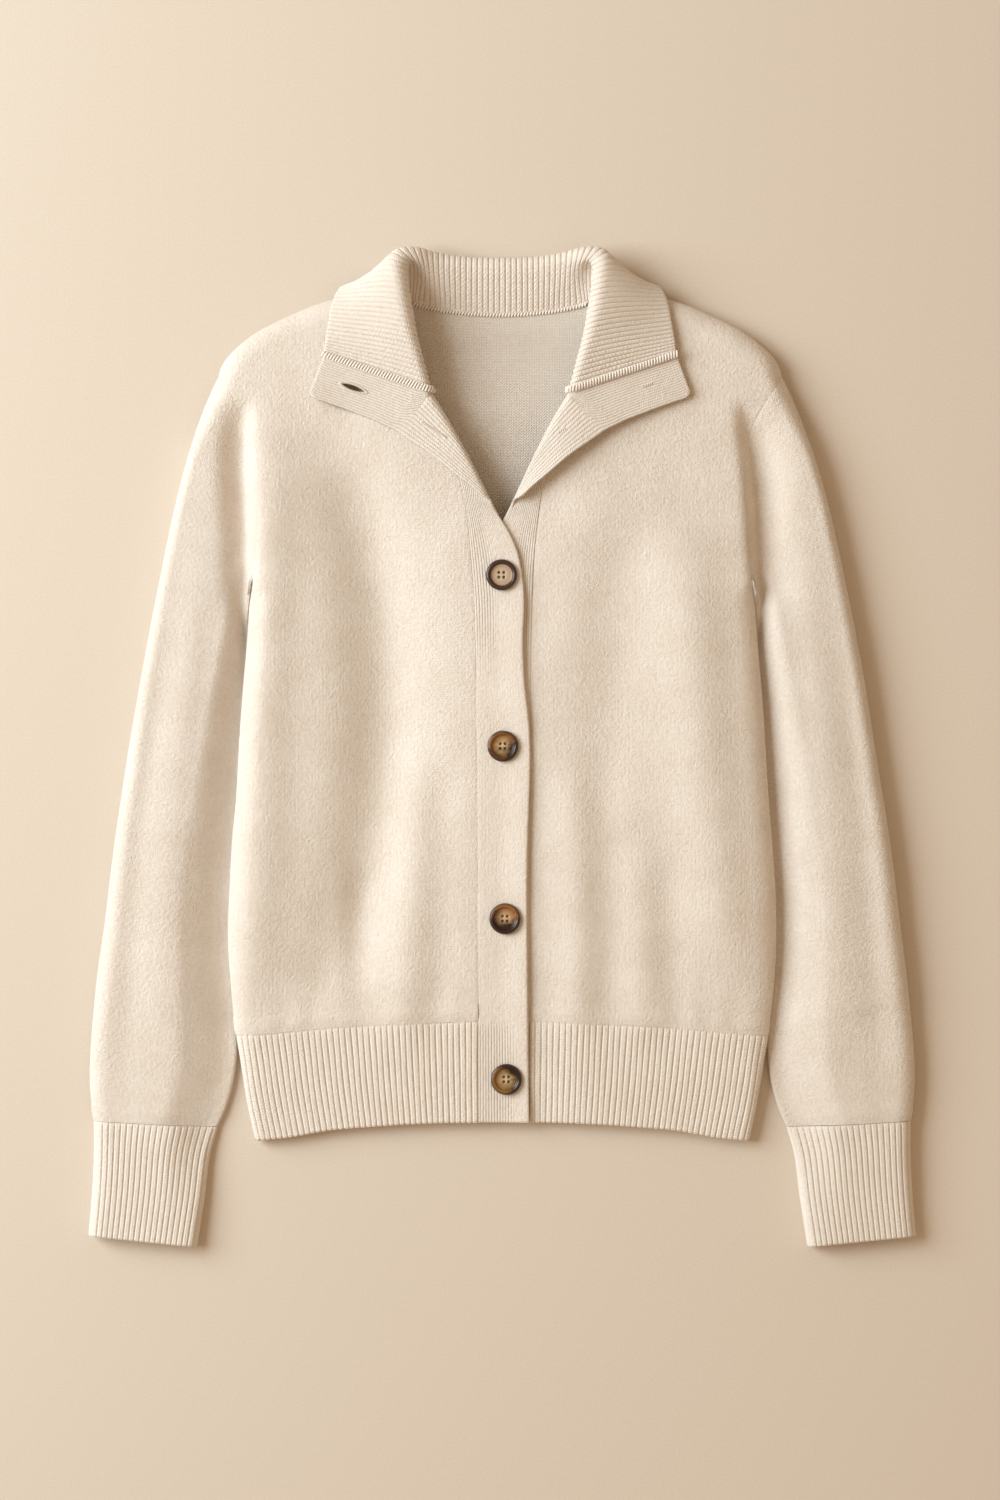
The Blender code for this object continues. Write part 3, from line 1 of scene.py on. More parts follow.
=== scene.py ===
"""Dressed model of a ribbed-collar button cardigan, laid flat on its back and buttoned up the front.

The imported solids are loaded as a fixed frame. Each cloth node is replaced by a finely sampled piece on
the same surface, with its ribs, seams, stitches and pile. Tables and lengths are in millimetres; U is
the distance from the centre line, so each table serves the left and right halves. The wearer's right
half lies at -X.
"""

import json

import bmesh
import bpy
import numpy as np
from bpy.props import FloatProperty, FloatVectorProperty, PointerProperty
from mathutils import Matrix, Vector
from mathutils.bvhtree import BVHTree

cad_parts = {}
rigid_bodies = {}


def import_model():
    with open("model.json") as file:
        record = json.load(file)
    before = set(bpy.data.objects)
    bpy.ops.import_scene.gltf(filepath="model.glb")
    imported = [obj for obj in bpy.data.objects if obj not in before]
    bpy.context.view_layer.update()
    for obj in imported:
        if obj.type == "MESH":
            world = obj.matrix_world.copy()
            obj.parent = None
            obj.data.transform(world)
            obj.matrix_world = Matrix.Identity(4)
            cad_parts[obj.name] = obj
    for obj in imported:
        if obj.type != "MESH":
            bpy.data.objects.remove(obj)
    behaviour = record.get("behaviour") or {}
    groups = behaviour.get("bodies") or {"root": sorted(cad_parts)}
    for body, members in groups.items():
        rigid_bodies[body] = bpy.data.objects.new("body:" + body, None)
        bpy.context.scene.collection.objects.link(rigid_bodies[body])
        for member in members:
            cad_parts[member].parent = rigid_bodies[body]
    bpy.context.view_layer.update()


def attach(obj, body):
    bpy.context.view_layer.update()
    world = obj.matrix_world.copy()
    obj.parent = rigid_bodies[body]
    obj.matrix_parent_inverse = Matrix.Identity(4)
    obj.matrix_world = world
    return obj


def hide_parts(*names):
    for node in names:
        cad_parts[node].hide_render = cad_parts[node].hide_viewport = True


bl_info = {
    "name": "Laid-out Button Cardigan",
    "version": (1, 0, 0),
    "blender": (4, 5, 0),
    "location": "3D View > Sidebar > Cardigan",
    "description": "Builds a felted wool cardigan with ribbed collar, hem and cuffs on its packed solids",
    "category": "Add Mesh",
}

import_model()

MM = 0.001

# ---------------------------------------------------------------- sizes shared with the solids

CLOTH = 2.0                # thickness of the knitted wall
# How far the collar and shoulders lie to one side of the body's centre line, and from what height up
COLLAR_LEAN = {"x": -1.5, "y": 150.0, "y_fade": 110.0}
FRAME_SHIFT = (0.0, 1.4554, 0.0373)  # from the tables' origin to the frame's
UNDERARM_Y = 106.0         # where the side seam ends and the armhole starts
NECK_POINT = (72.0, 320.0)  # where the shoulder seam meets the neckline
# How much lower the under band lies than the top band, and where that step fades out
OVERLAP = {"step": 2.6, "x": 19.0, "x_fade": 42.0, "y": 165.0, "y_fade": 50.0}
FRONT_ROLL = 16.0          # depth of the soft roll from the side seam up onto the front
FRONT_SHOULDER_ROLL = 15.0  # the same at the shoulder line
BACK_ROLL = 30.0           # depth of the curl from the side seam down onto the floor
BACK_SHOULDER_ROLL = 24.0  # the same at the shoulder line
# How far the back neckline stands off the floor on the collar's turned edge, and where it does
BACK_NECK_RISE = {"lift": 2.7, "y": 282.0, "y_fade": 26.0, "u": 86.0, "u_fade": 20.0}
UNDERARM_BLEND = 45.0      # height above the underarm over which the side roll moves out to the sleeve's
# How far the shoulder line's roll is moved up inside the neck opening, and over what width
NECK_CLEARING = {"rise": 40.0, "reach": 30.0}
ROLL_NARROWING = {"y": (-330.0, -271.5, -200.0), "share": (0.45, 0.45, 1.0)}
LEAF_GAP = 0.7             # least clearance of the collar's leaves and the lapels over the front
LOOK_UP_CURVES = {}        # smooth curves already made from the tables
SLOPE_STEP = 0.05          # half the distance over which a height surface's slope is measured
UP_THE_BODY = np.array([0.0, 1.0, 0.0])
MIRROR = (-1.0, 1.0, 1.0)  # turns points over to the other side of the centre line
HEM_SIDE_ROWS = 3          # how many points of the side seam lie on the ribbed hem
SEAM_GAP = 0.04            # clearance between two pieces where they are sewn together
HALF_GAP = SEAM_GAP / 2.0
SEAM_ROLL = 3.0            # depth over which front and back part to leave the seam gap
UNDERARM_SHARE = 0.62      # share of the way up a body panel at which the armhole starts
NECK_CORNER_SHARE = UNDERARM_SHARE + (1.0 - UNDERARM_SHARE) * 0.54
ARMHOLE_GAP = 0.04         # clearance between body and sleeve at the armhole seam
SLEEVE_ARMHOLE_FADE = 0.11  # share of the sleeve over which it leaves the armhole's own form
SLEEVE_LENGTH = 540.0
SLEEVE_FRONT_ROLL = 13.0
SLEEVE_BACK_ROLL = 16.0
SLEEVE_FOLD_RADIUS = 2.5   # radius of the tube's fold along its inner edge
SLEEVE_INNER_RAMP = 42.0   # how far the tube climbs from that fold to its full height
SLEEVE_INNER_BEND = 1.12   # makes the cross lines of the sleeve slope down towards its inner edge
CUFF_CROWN = {             # height, side seam, fold radius and ramp of the cuff from its seam to its end
    "c": (0.0, 1.0),
    "top": (15.0, 13.0),
    "seam": (7.5, 6.5),
    "fold": (2.5, 4.0),
    "ramp": (34.0, 24.0),
}
CUFF_TOP_ROLL = 14.0       # rolls that round the cuff's inner edge at its open end
CUFF_UNDER_ROLL = 8.0
CUFF_RIB_EDGES = (0.035, 0.965)  # where the cuff's ribs begin and end across its upper face
COLLAR_RIBS = 84
CUFF_RIBS = 19

# ---------------------------------------------------------------- sizes of the dressed cloth

FLAT_MAP = "flat cloth"    # map of each piece's flat cloth, in centimetres
EDGE_ROUND = 1.3           # how far in from a free edge the cloth reaches its full thickness
EDGE_THINNEST = 0.15       # share of the thickness left on the edge itself
EDGE_STEPS = (0.0, 0.15, 0.5, 1.1, 2.2)  # distances from an edge at which the cloth is sampled
RIB_STEPS = (0.0, 0.05, 0.14, 0.3, 0.5, 0.7, 0.86, 0.95)  # the same across each rib, as shares
BODY_STEP = 2.9            # spacing of the samples over plain cloth, over sleeves and along ribs
SLEEVE_STEP = 2.4
BACK_STEP = 4.2
RIB_STEP = 3.0
CUFF_LEAD_COLUMNS = (0.0, 0.004, 0.012, 0.022)
CUFF_UNDER_COLUMNS = 24
CUFF_START = 0.0035        # share of the cuff's length left open at its seam
RIB_PITCH = 4.4
RIB_RISE = 0.64            # crest of each rib over the plain face, its groove, and the run from the seam
RIB_FLOOR = -0.28
RIB_START = 4.5
RIB_SCALLOP = 0.6          # how far each rib's end stands past its grooves on the hem's edge
RIB_WANDER = 0.15
BAND_WIDTH = 44.0
BAND_COLUMN_STEP = 1.4
BAND_RIB_LEAST = 0.08      # least share of a band's fine ribs that shows through its nap
BAND_LIFT = 2.0            # how far the top band's free edge stands up between the buttons
BAND_SEAM_DIP = 0.2        # groove where each band is sewn on
BODY_SWELL = 0.35
# How far the plain knit swells over the ribbing and at what distance from its seam
HEM_PUFF = {"rise": 0.7, "from_seam": 6.0, "reach": 5.0}
# Gathers there: their rise, length, the length over which that drifts, and how far up they reach
GATHER = {"rise": 0.3, "length": 4.1, "drift": 23.0, "reach": 38.0}
SEAM_DIP = 0.35            # crease of the armhole seam, which shows near the shoulder
SEAM_SHOWS_FROM = 215.0
CREASE_REACH = 1.6
# Valley between body and sleeve: its depth, and how far its line lies from the centre line
# on the wearer's right (-1) and left (1)
ARMHOLE_VALLEY = {
    "y": (70.0, 95.0, 115.0, 150.0, 195.0, 225.0, 250.0),
    "depth": (0.0, 2.0, 9.5, 13.5, 12.5, 9.0, 0.0),
    -1: (193.0, 190.0, 187.0, 186.5, 188.0, 187.0, 184.0),
    1: (196.0, 192.0, 188.0, 185.5, 183.0, 179.5, 176.0),
}
VALLEY_BODY_REACH = 7.0    # how far the valley spreads over the body, and over each sleeve
VALLEY_SLEEVE_REACH = {-1: 11.0, 1: 20.0}
VALLEY_FLOOR = 4.5         # least height of the sleeve's upper face in it
UNDERARM_FADE = 7.0        # length over which it starts above the underarm
VALLEY_LEAST_HOLLOW = 4.2  # least height of that face over the sleeve's under face
SWELLS = {                 # slow waves of the cloth: millimetres to a radian, direction, start and share
    "length": (19.0, 12.0, 8.0, 5.2),
    "heading": (20.0, 104.0, 55.0, 151.0),
    "phase": (0.4, 2.1, 4.0, 1.2),
    "share": (0.4, 0.3, 0.2, 0.1),
}

# ---------------------------------------------------------------- sewing and pile

SEWING_LIFT = 1.9
SEWING_WOOL = (0.95, 0.87, 0.79)
NECK_LINK_FROM = 0.62      # where along the collar, from its end, the linked back neck seam starts
NECK_LINK_LIFT = 0.7
FIBRE_RADIUS = 0.055
PILE_LEAST_TURN = 0.05     # fibres grow where the cloth faces up at least this much,
PILE_LOWEST_ROOT = 0.0045  # and above this height in metres
# Stitches, with the inputs of the stitch tree in millimetres
STITCH_LOOKS = {
    "overlock": {"Pitch": 2.1, "Width": 4.2, "Rise": 0.6, "Yarn Radius": 0.8, "Slant": 1.3},
    "linking": {"Pitch": 2.2, "Width": 2.4, "Rise": 0.6, "Yarn Radius": 0.76, "Slant": 1.3},
    "buttonhole": {"Pitch": 1.0, "Width": 1.5, "Rise": 0.5, "Yarn Radius": 0.34, "Slant": 0.3},
    "closed hole": {"Pitch": 1.0, "Width": 2.4, "Rise": 0.4, "Yarn Radius": 0.3, "Slant": 0.2},
    "mark": {"Pitch": 1.3, "Width": 1.6, "Rise": 0.4, "Yarn Radius": 0.34, "Slant": 0.5},
}
BUTTONHOLE = {"from": (-115.9, 261.4), "to": (-97.9, 254.9), "half_width": 1.8, "sides": 24, "rim": 0.9,
              "hollow": 9.0, "hollow_reach": 13.0}
STITCH_MARKS = [
    {"piece": "knit_band_right", "line": ((-57.5, 233.4), (-40.6, 222.6)), "look": "closed hole"},
    {"piece": "knit_band_left", "line": ((100.5, 259.0), (107.0, 261.0)), "look": "mark"},
    {"piece": "knit_band_left", "line": ((40.5, 225.6), (44.5, 228.4)), "look": "mark"},
]

# Side seam and hem side, from the hem's lower corner up to the underarm
BODY_SIDE = {
    "y": (-285.0, -254.0, -225.0, -209.0, -182.0, -146.0, -110.0, -74.0, -38.0, -2.0, 34.0, 70.0, 106.0),
    "u": (178.5, 185.0, 189.5, 192.0, 195.0, 197.5, 197.0, 195.0, 192.0, 190.0, 187.5, 184.5, 182.0),
}
# Armhole seam, from the underarm to the shoulder tip
ARMHOLE = {
    "u": (182.0, 177.5, 175.5, 174.5, 178.0, 190.0, 203.5),
    "y": (106.0, 135.0, 163.0, 192.0, 222.0, 246.0, 266.0),
}
# Shoulder line, from the shoulder tip to the neck point
SHOULDER = {
    "u": (203.5, 201.0, 196.0, 188.5, 177.0, 162.5, 148.5, 134.0, 120.0, 104.0, 88.0, 72.0),
    "y": (266.0, 273.5, 281.0, 288.5, 297.5, 305.5, 312.0, 318.0, 322.0, 323.5, 323.0, 320.0),
}
# Outer edge of the sleeve, from the shoulder tip to the cuff seam
SLEEVE_OUTER = {
    "u": (203.5, 211.0, 222.0, 231.0, 238.0, 250.0, 261.0, 270.5, 279.5, 286.5, 294.0, 298.0, 295.0),
    "y": (266.0, 250.0, 221.0, 192.0, 163.5, 106.0, 48.0, -9.5, -67.0, -124.5, -182.0, -240.0, -270.5),
}
# Inner edge of the sleeve, from the underarm to the cuff seam; most of it lies under the body's curl
SLEEVE_INNER = {
    "u": (182.6, 183.6, 183.4, 185.0, 188.0, 191.0, 193.5, 194.5, 192.5, 191.5, 194.0, 199.5, 205.5),
    "y": (105.5, 88.0, 62.0, 34.0, -8.0, -52.0, -96.0, -146.0, -190.0, -220.0, -242.0, -262.0, -275.5),
}
# Cuff, from its seam to its open end
CUFF_OUTER = {"u": (295.0, 295.0, 296.5, 299.0), "y": (-270.5, -297.5, -326.0, -354.0)}
CUFF_INNER = {"u": (205.5, 211.0, 215.0, 220.5), "y": (-275.5, -295.0, -326.0, -362.0)}
# Seam between each front and its band, from the hem up to the corner of the neckline:
# the top band on the wearer's right (-1), the under band on the left (1)
BAND_SEAM = {
    "y": (-272.0, -198.5, -85.0, 8.5, 98.5, 134.5, 174.0, 192.0, 221.0, 252.0),
    -1: (17.5, 17.5, 17.5, 18.5, 20.0, 22.5, 26.5, 30.0, 38.5, 57.0),
    1: (19.5, 19.5, 19.5, 20.0, 21.5, 23.0, 27.5, 31.0, 39.0, 57.0),
}
# Front neckline, from the band seam's upper end to the neck point
FRONT_NECK = {"u": (57.0, 63.2, 68.4, 71.0, 72.0), "y": (252.0, 275.0, 293.0, 308.0, 320.0)}
# Back neckline, from the neck point to the centre line
BACK_NECK = {"u": (72.0, 60.0, 47.0, 28.0, 0.0), "y": (320.0, 317.0, 314.0, 311.5, 310.0)}
# Hem: where the body's knit meets the ribbing, and the ribbing's lower edge
HEM_SEAM = {
    "u": (0.0, 17.5, 39.0, 75.0, 111.0, 147.0, 168.0, 192.0),
    "y": (-198.5, -198.5, -199.5, -201.0, -202.5, -205.5, -207.5, -209.0),
}
HEM_EDGE = {
    "u": (0.0, 39.0, 67.5, 96.5, 125.5, 154.0, 178.5),
    "y": (-272.0, -272.0, -273.0, -275.0, -277.5, -282.5, -285.0),
}
# Height of the front's highest layer and of the side seam, along the body
CROWN = {
    "y": (-290.0, -240.0, -200.0, -120.0, 0.0, 120.0, 200.0, 260.0, 330.0),
    "top": (9.5, 12.5, 15.0, 18.5, 20.0, 20.5, 20.0, 19.0, 17.5),
    "seam": (5.0, 6.5, 9.0, 11.0, 11.0, 11.0, 10.0, 8.5, 8.0),
}
# Height of the sleeve along its length, from the armhole (0) to the cuff's end (1)
SLEEVE_CROWN = {
    "s": (0.0, 0.2, 0.45, 0.7, 0.86, 1.0),
    "top": (20.0, 19.0, 19.5, 19.5, 17.5, 15.0),
    "seam": (9.0, 9.5, 9.5, 9.0, 8.0, 7.5),
}
# Soft folds of the front, one in each column: a ridge (or, with a negative rise, a trough) that runs
# down the wearer's right front (side -1) or left front (1)
FRONT_FOLDS = {
    "side": (-1, -1, -1, -1, -1, -1, -1, 1, 1, 1, 1, 1, 1, 1),
    "y_top": (285, 262, 20, 10, -70, -75, 215, 190, 175, 10, 5, -60, -65, 225),
    "y_low": (-235, -225, -235, -235, -222, -222, -90, -215, -60, -235, -235, -228, -228, 40),
    "u_top": (166, 128, 62, 40, 116, 100, 60, 128, 82, 48, 74, 98, 122, 70),
    "u_mid": (171, 86, 68, 44, 117, 101, 66, 146, 78, 53, 78, 101, 123, 62),
    "u_low": (184, 134, 70, 44, 118, 101, 70, 170, 72, 56, 80, 102, 124, 52),
    "half": (19, 28, 14, 12, 10, 10, 34, 25, 28, 13, 13, 12, 11, 24),
    "rise": (5.0, -11.0, 2.2, -1.5, 1.3, -1.1, -3.0, 6.2, -4.0, 1.9, -1.8, 1.4, -1.2, 1.0),
}
# Soft folds of the sleeves, across (0 at the inner edge, 1 at the outer) and along (0 armhole, 1 cuff)
SLEEVE_FOLDS = {
    "s_from": (0.1, 0.25, 0.45),
    "s_to": (0.95, 1.0, 1.05),
    "across_from": (0.62, 0.84, 0.4),
    "across_to": (0.48, 0.74, 0.26),
    "half": (0.14, 0.09, 0.08),
    "rise": (1.5, -1.0, -0.6),
}
# Collar sections from its front end (station 0) to the centre back. Each climbs from the neck seam,
# turns round a roll with the given centre, radius and angles, and falls to its edge. Angles are in
# degrees: "enter" and "leave" in the section's upright plane, "heading" of that plane and "start" of
# the cloth as it leaves the neck seam in plan, from straight out to the side (0) to straight up (90).
COLLAR = {
    "neck": ((56.2, 254.6, 17.2), (61.9, 275.0, 17.0), (66.7, 293.2, 16.8), (68.5, 308.0, 15.6),
             (69.0, 316.8, 11.6), (69.6, 321.5, 8.4), (69.0, 320.6, 7.6), (65.0, 319.4, 6.8),
             (59.0, 317.6, 5.4), (47.0, 314.8, 4.9), (28.0, 312.2, 4.8), (0.0, 310.7, 4.8)),
    "roll": ((54.4, 256.5, 22.4), (61.6, 279.1, 25.0), (67.0, 296.4, 26.5), (70.4, 312.1, 27.0),
             (72.6, 325.0, 26.8), (73.7, 336.5, 26.2), (73.5, 346.0, 24.6), (69.5, 351.5, 21.5),
             (59.0, 351.8, 17.5), (48.0, 348.8, 12.5), (28.0, 345.2, 8.6), (0.0, 344.1, 7.6)),
    "edge": ((126.7, 280.8, 23.5), (125.3, 293.0, 23.0), (123.1, 306.0, 22.0), (121.0, 317.5, 19.5),
             (118.0, 326.2, 16.0), (113.0, 331.5, 11.0), (98.0, 334.0, 6.5), (83.0, 330.0, 3.2),
             (66.0, 323.5, 1.2), (48.5, 319.0, 0.2), (28.0, 316.6, 0.0), (0.0, 315.4, 0.0)),
    "start": (196, 192, 188, 182, 168, 135, 110, 100, 95, 92, 90, 90),
    "r": (5.2, 6.5, 7.5, 8.0, 8.0, 8.0, 7.5, 7.0, 7.0, 7.0, 7.4, 7.6),
    "enter": (270, 268, 262, 255, 245, 228, 205, 172, 140, 116, 108, 105),
    "leave": (84, 84, 82, 80, 78, 70, 52, 16, -30, -70, -88, -90),
    "heading": (19, 17, 15, 13, 12, 14, 20, 38, 70, 86, 90, 90),
}
# Turned-back part of each band, for points up the band seam: the fold, the free edge, the radius of
# the fold's roll, the angle at which the cloth leaves it, how high the free edge stands off, and how
# much more of that the wearer's left lapel has
LAPEL = {
    "seam_y": (162.0, 174.0, 184.0, 194.0, 208.0, 224.0, 239.0, 252.0),
    "fold_u": (0.5, 5.0, 9.0, 13.0, 19.5, 28.5, 38.5, 47.6),
    "fold_y": (162.5, 171.5, 179.0, 187.0, 200.5, 218.0, 236.5, 251.0),
    "free_u": (0.5, 5.5, 11.5, 20.0, 33.0, 48.0, 61.0, 71.5),
    "free_y": (162.0, 170.0, 176.5, 184.5, 194.8, 207.2, 216.2, 223.3),
    "roll": (3.2, 3.2, 3.3, 3.5, 3.8, 4.4, 4.9, 5.2),
    "leave": (262.0, 215.0, 150.0, 105.0, 95.0, 90.0, 88.0, 86.0),
    "lift": (0.5, 1.5, 3.0, 3.0, 2.6, 2.0, 1.6, 1.4),
    "left_lift": (0.0, 0.5, 2.0, 4.0, 5.5, 6.0, 5.5, 5.0),
}
# Free edge of the lapel beside the collar's end section, at places along that section
LAPEL_END = {
    "place": (0.0, 1.0, 2.0, 3.0, 4.0, 5.0, 6.0, 7.0, 7.72, 8.0),
    "u": (71.5, 73.0, 74.5, 76.5, 79.0, 82.0, 104.0, 125.0, 133.6, 136.8),
    "y": (223.3, 224.6, 225.6, 226.7, 227.9, 229.3, 238.8, 246.5, 249.4, 253.8),
    "lift": (1.4, 1.4, 1.4, 1.3, 1.3, 1.2, 1.0, 0.9, 0.9, 0.9),
    "left_lift": (5.0, 5.0, 4.9, 4.8, 4.7, 4.5, 3.4, 2.2, 1.8, 1.6),
}
# How far each band's free edge lies past the body's centre line, below the turned-back part
BAND_FREE = {
    "y": (-272.0, -198.5, -85.0, 5.0, 48.0, 77.0, 106.0, 134.5, 150.0, 162.0),
    -1: (19.5, 18.5, 18.0, 20.0, 15.8, 15.0, 15.8, 12.2, 6.6, -0.2),
    1: (14.5, 14.5, 14.5, 14.5, 14.5, 14.0, 12.5, 9.0, 5.0, -0.2),
}
# Buttons from the neck down: place, tilt in degrees, and horn: pale and deep middle, dark patches, edge
# and rim, and how the patches lean to one side of the button
BUTTONS = {
    "x": (-0.5, 0.5, 2.0, 3.0),
    "y": (122.5, -0.5, -124.5, -240.5),
    "tilt": ((0.6, -1.0), (-1.2, 0.8), (0.8, -0.6), (-0.6, 1.0)),
    "pale": ((0.66, 0.5, 0.36), (0.72, 0.5, 0.27), (0.68, 0.46, 0.26), (0.68, 0.49, 0.27)),
    "deep": ((0.4, 0.27, 0.17), (0.3, 0.135, 0.04), (0.3, 0.13, 0.04), (0.28, 0.135, 0.04)),
    "dark": ((0.16, 0.09, 0.055), (0.028, 0.012, 0.007), (0.028, 0.012, 0.008), (0.026, 0.012, 0.007)),
    "edge": ((0.06, 0.03, 0.02), (0.06, 0.03, 0.018), (0.06, 0.03, 0.018), (0.05, 0.026, 0.016)),
    "rim": (1.0, 0.8, 0.8, 0.8),
    "scale": (60.0, 110.0, 110.0, 110.0),
    "lean": ((-10.0, 6.0), (16.0, -20.0), (-8.0, -44.0), (36.0, 12.0)),
    "middle": ((0.003, 0.008), (0.0014, 0.0078), (0.0012, 0.0074), (0.0014, 0.0078)),
    "patch": ((0.75, 1.0), (0.42, 0.85), (0.38, 0.82), (0.38, 0.82)),
    "rim_from": ((0.0076, 0.0084), (0.0094, 0.011), (0.0094, 0.011), (0.0094, 0.011)),
}
# Turned profile of a button from its axis outwards, over the rim and back under
BUTTON_TURN = {
    "radius": (0.0, 4.0, 6.6, 7.5, 8.1, 9.2, 10.3, 11.0, 11.2, 10.4, 7.5, 4.0, 0.0),
    "height": (1.9, 1.9, 1.95, 2.2, 3.0, 3.7, 3.45, 2.7, 1.9, 0.8, 0.1, 0.0, 0.0),
}
BUTTON_TURNED_SIDES = 72
BUTTON_REST = 0.15         # gap between the band's rib crests and the button's under face
BUTTON_HOLES = 4
BUTTON_HOLE_OFFSET = 2.5   # from the button's axis to the middle of each hole
HOLE_TURN = 45.0           # degrees from the button's level line to its first hole
HOLE_SIDES = 20
HOLE_PROFILE = {"radius": (0.0, 1.05, 1.05, 1.3, 1.75, 0.0), "height": (-1.0, -1.0, 1.45, 1.8, 2.25, 2.25)}
# Arch of a strand: share of the way from the middle to a hole, and height
THREAD_ARCH = ((-1.0, -0.2), (-0.98, 1.2), (-0.86, 2.05), (-0.5, 2.42), (0.0, 2.55), (0.5, 2.42),
               (0.86, 2.05), (0.98, 1.2), (1.0, -0.2))
THREAD_RISE = 0.4          # share of the full arch that the sunk thread reaches
THREAD_RADIUS = 0.19
THREAD_SPREAD = 0.28       # from the middle of a pair of strands to each of them
# Dark brown of the thread, which lies sunk inside the button and shows only at the bottom of its holes as
# dark dots: painted shade in the holes
HOLE_SHADE_THREAD_COLOUR = (0.16, 0.10, 0.06)


# ---------------------------------------------------------------- curves and tables

def mix(first, last, start, end, place):
    return (end - place) / (end - start) * first + (place - start) / (end - start) * last


def smooth_curve(points, steps=12):
    """Dense points of a smooth curve (centripetal Catmull-Rom) through the given points."""
    points = np.asarray(points, float)
    ends = np.vstack([2 * points[0] - points[1], points, 2 * points[-1] - points[-2]])
    dense = []
    for p in (ends[i:i + 4] for i in range(len(ends) - 3)):
        t = np.cumsum([0.0] + [max(np.linalg.norm(b - a), 1e-6) ** 0.5 for a, b in zip(p, p[1:])])
        x = (t[1] + (t[2] - t[1]) * np.arange(steps) / steps)[:, None]
        sides = [mix(p[i], p[i + 1], t[i], t[i + 1], x) for i in range(3)]
        middles = [mix(sides[i], sides[i + 1], t[i], t[i + 2], x) for i in range(2)]
        dense.append(mix(*middles, t[1], t[2], x))
    return np.concatenate([*dense, points[-1:]])


def along(dense, share):
    """Point of a dense curve at a share of its length (an array of shares gives an array of points)."""
    dense = np.asarray(dense, float)
    lengths = np.concatenate([[0.0], np.cumsum(np.linalg.norm(np.diff(dense, axis=0), axis=1))])
    share = np.asarray(share, float) * lengths[-1]
    return np.stack([np.interp(share, lengths, dense[:, k]) for k in range(dense.shape[1])], axis=-1)


def two_lines(low, high, split, share):
    """Points along one dense curve up to the split share, and along another from there on."""
    first = along(low, np.clip(share / split, 0.0, 1.0))
    last = along(high, np.clip((share - split) / (1.0 - split), 0.0, 1.0))
    return np.where((share <= split)[:, None], first, last)


def table_rows(table):
    """A table of named columns as a list with one dictionary for each of its entries."""
    return [dict(zip(table, entry)) for entry in zip(*table.values())]


def table_curve(table, first="u", second="y"):
    return smooth_curve(list(zip(table[first], table[second])))


def look_up(table, key, column, value):
    """Smooth value of a table's column where its key column has the given value."""
    place = id(table), key, column
    if place not in LOOK_UP_CURVES:
        curve = table_curve(table, key, column)
        LOOK_UP_CURVES[place] = curve[::-1] if curve[0, 0] > curve[-1, 0] else curve
    return np.interp(value, *LOOK_UP_CURVES[place].T)


def soft_step(value):
    value = np.clip(value, 0.0, 1.0)
    return value * value * (3.0 - 2.0 * value)


def roll_up(distance, radius):
    """Rise of a soft roll, 0 on the seam and 1 from one radius in, with an upright start."""
    inward = 1.0 - np.clip(distance / radius, 0.0, 1.0)
    return np.sqrt(np.clip(1.0 - inward * inward, 0.0, 1.0))


def near(distance, reach):
    """1 on a line, falling softly to 0 with the distance from it."""
    return np.exp(-(distance / reach) ** 2)


def unit(vectors):
    return vectors / np.linalg.norm(vectors, axis=-1, keepdims=True)


# ---------------------------------------------------------------- heights of the laid-out body

def side_distance(u, y):
    """Distance in from the side silhouette: the side seam, or past the underarm the sleeve's outer edge."""
    body = look_up(BODY_SIDE, "y", "u", np.minimum(y, UNDERARM_Y))
    sleeve = look_up(SLEEVE_OUTER, "y", "u", np.maximum(y, UNDERARM_Y))
    return body + (sleeve - body) * soft_step((y - UNDERARM_Y) / UNDERARM_BLEND) - u


def shoulder_distance(u, y):
    """Distance in from the shoulder line, measured square to it; inside the neck there is no such edge."""
    clearing = NECK_CLEARING["rise"] * soft_step((NECK_POINT[0] - u) / NECK_CLEARING["reach"])
    slope = (look_up(SHOULDER, "u", "y", u + 1.0) - look_up(SHOULDER, "u", "y", u - 1.0)) / 2.0
    return (look_up(SHOULDER, "u", "y", u) + clearing - y) / np.sqrt(1.0 + slope * slope)


def flat_share(u, y, side_roll, shoulder_roll):
    """Share of a panel's flat form at a point: 0 on its side and shoulder seams, 1 past their rolls."""
    return roll_up(side_distance(u, y), side_roll) * roll_up(shoulder_distance(u, y), shoulder_roll)


def fold_rise(x, y):
    """Height that the front's soft folds add."""
    rise = 0.0
    for fold in table_rows(FRONT_FOLDS):
        t = (y - (fold["y_top"] + fold["y_low"]) / 2.0) / ((fold["y_top"] - fold["y_low"]) / 2.0)
        u = fold["u_mid"] + (fold["u_top"] - fold["u_low"]) / 2.0 * t
        u = u + ((fold["u_top"] + fold["u_low"]) / 2.0 - fold["u_mid"]) * t * t
        fade = soft_step((1.0 - np.abs(t)) / 0.5)
        rise = rise + fold["rise"] * fade * near(x * fold["side"] - u, fold["half"])
    return rise


def front_height(x, y):
    """Height of the front's upper face, where the wearer's left half lies one overlap lower."""
    seam = look_up(CROWN, "y", "seam", y)
    top = look_up(CROWN, "y", "top", y) + fold_rise(x, y)
    roll = FRONT_ROLL * np.interp(y, ROLL_NARROWING["y"], ROLL_NARROWING["share"])
    step = 1.0 - soft_step((x - OVERLAP["x"]) / OVERLAP["x_fade"])
    step = OVERLAP["step"] * step * (1.0 - soft_step((y - OVERLAP["y"]) / OVERLAP["y_fade"]))
    rise = (top - seam) * flat_share(np.abs(x), y, roll, FRONT_SHOULDER_ROLL)
    return seam + rise - np.where(x > 0.0, step, 0.0)


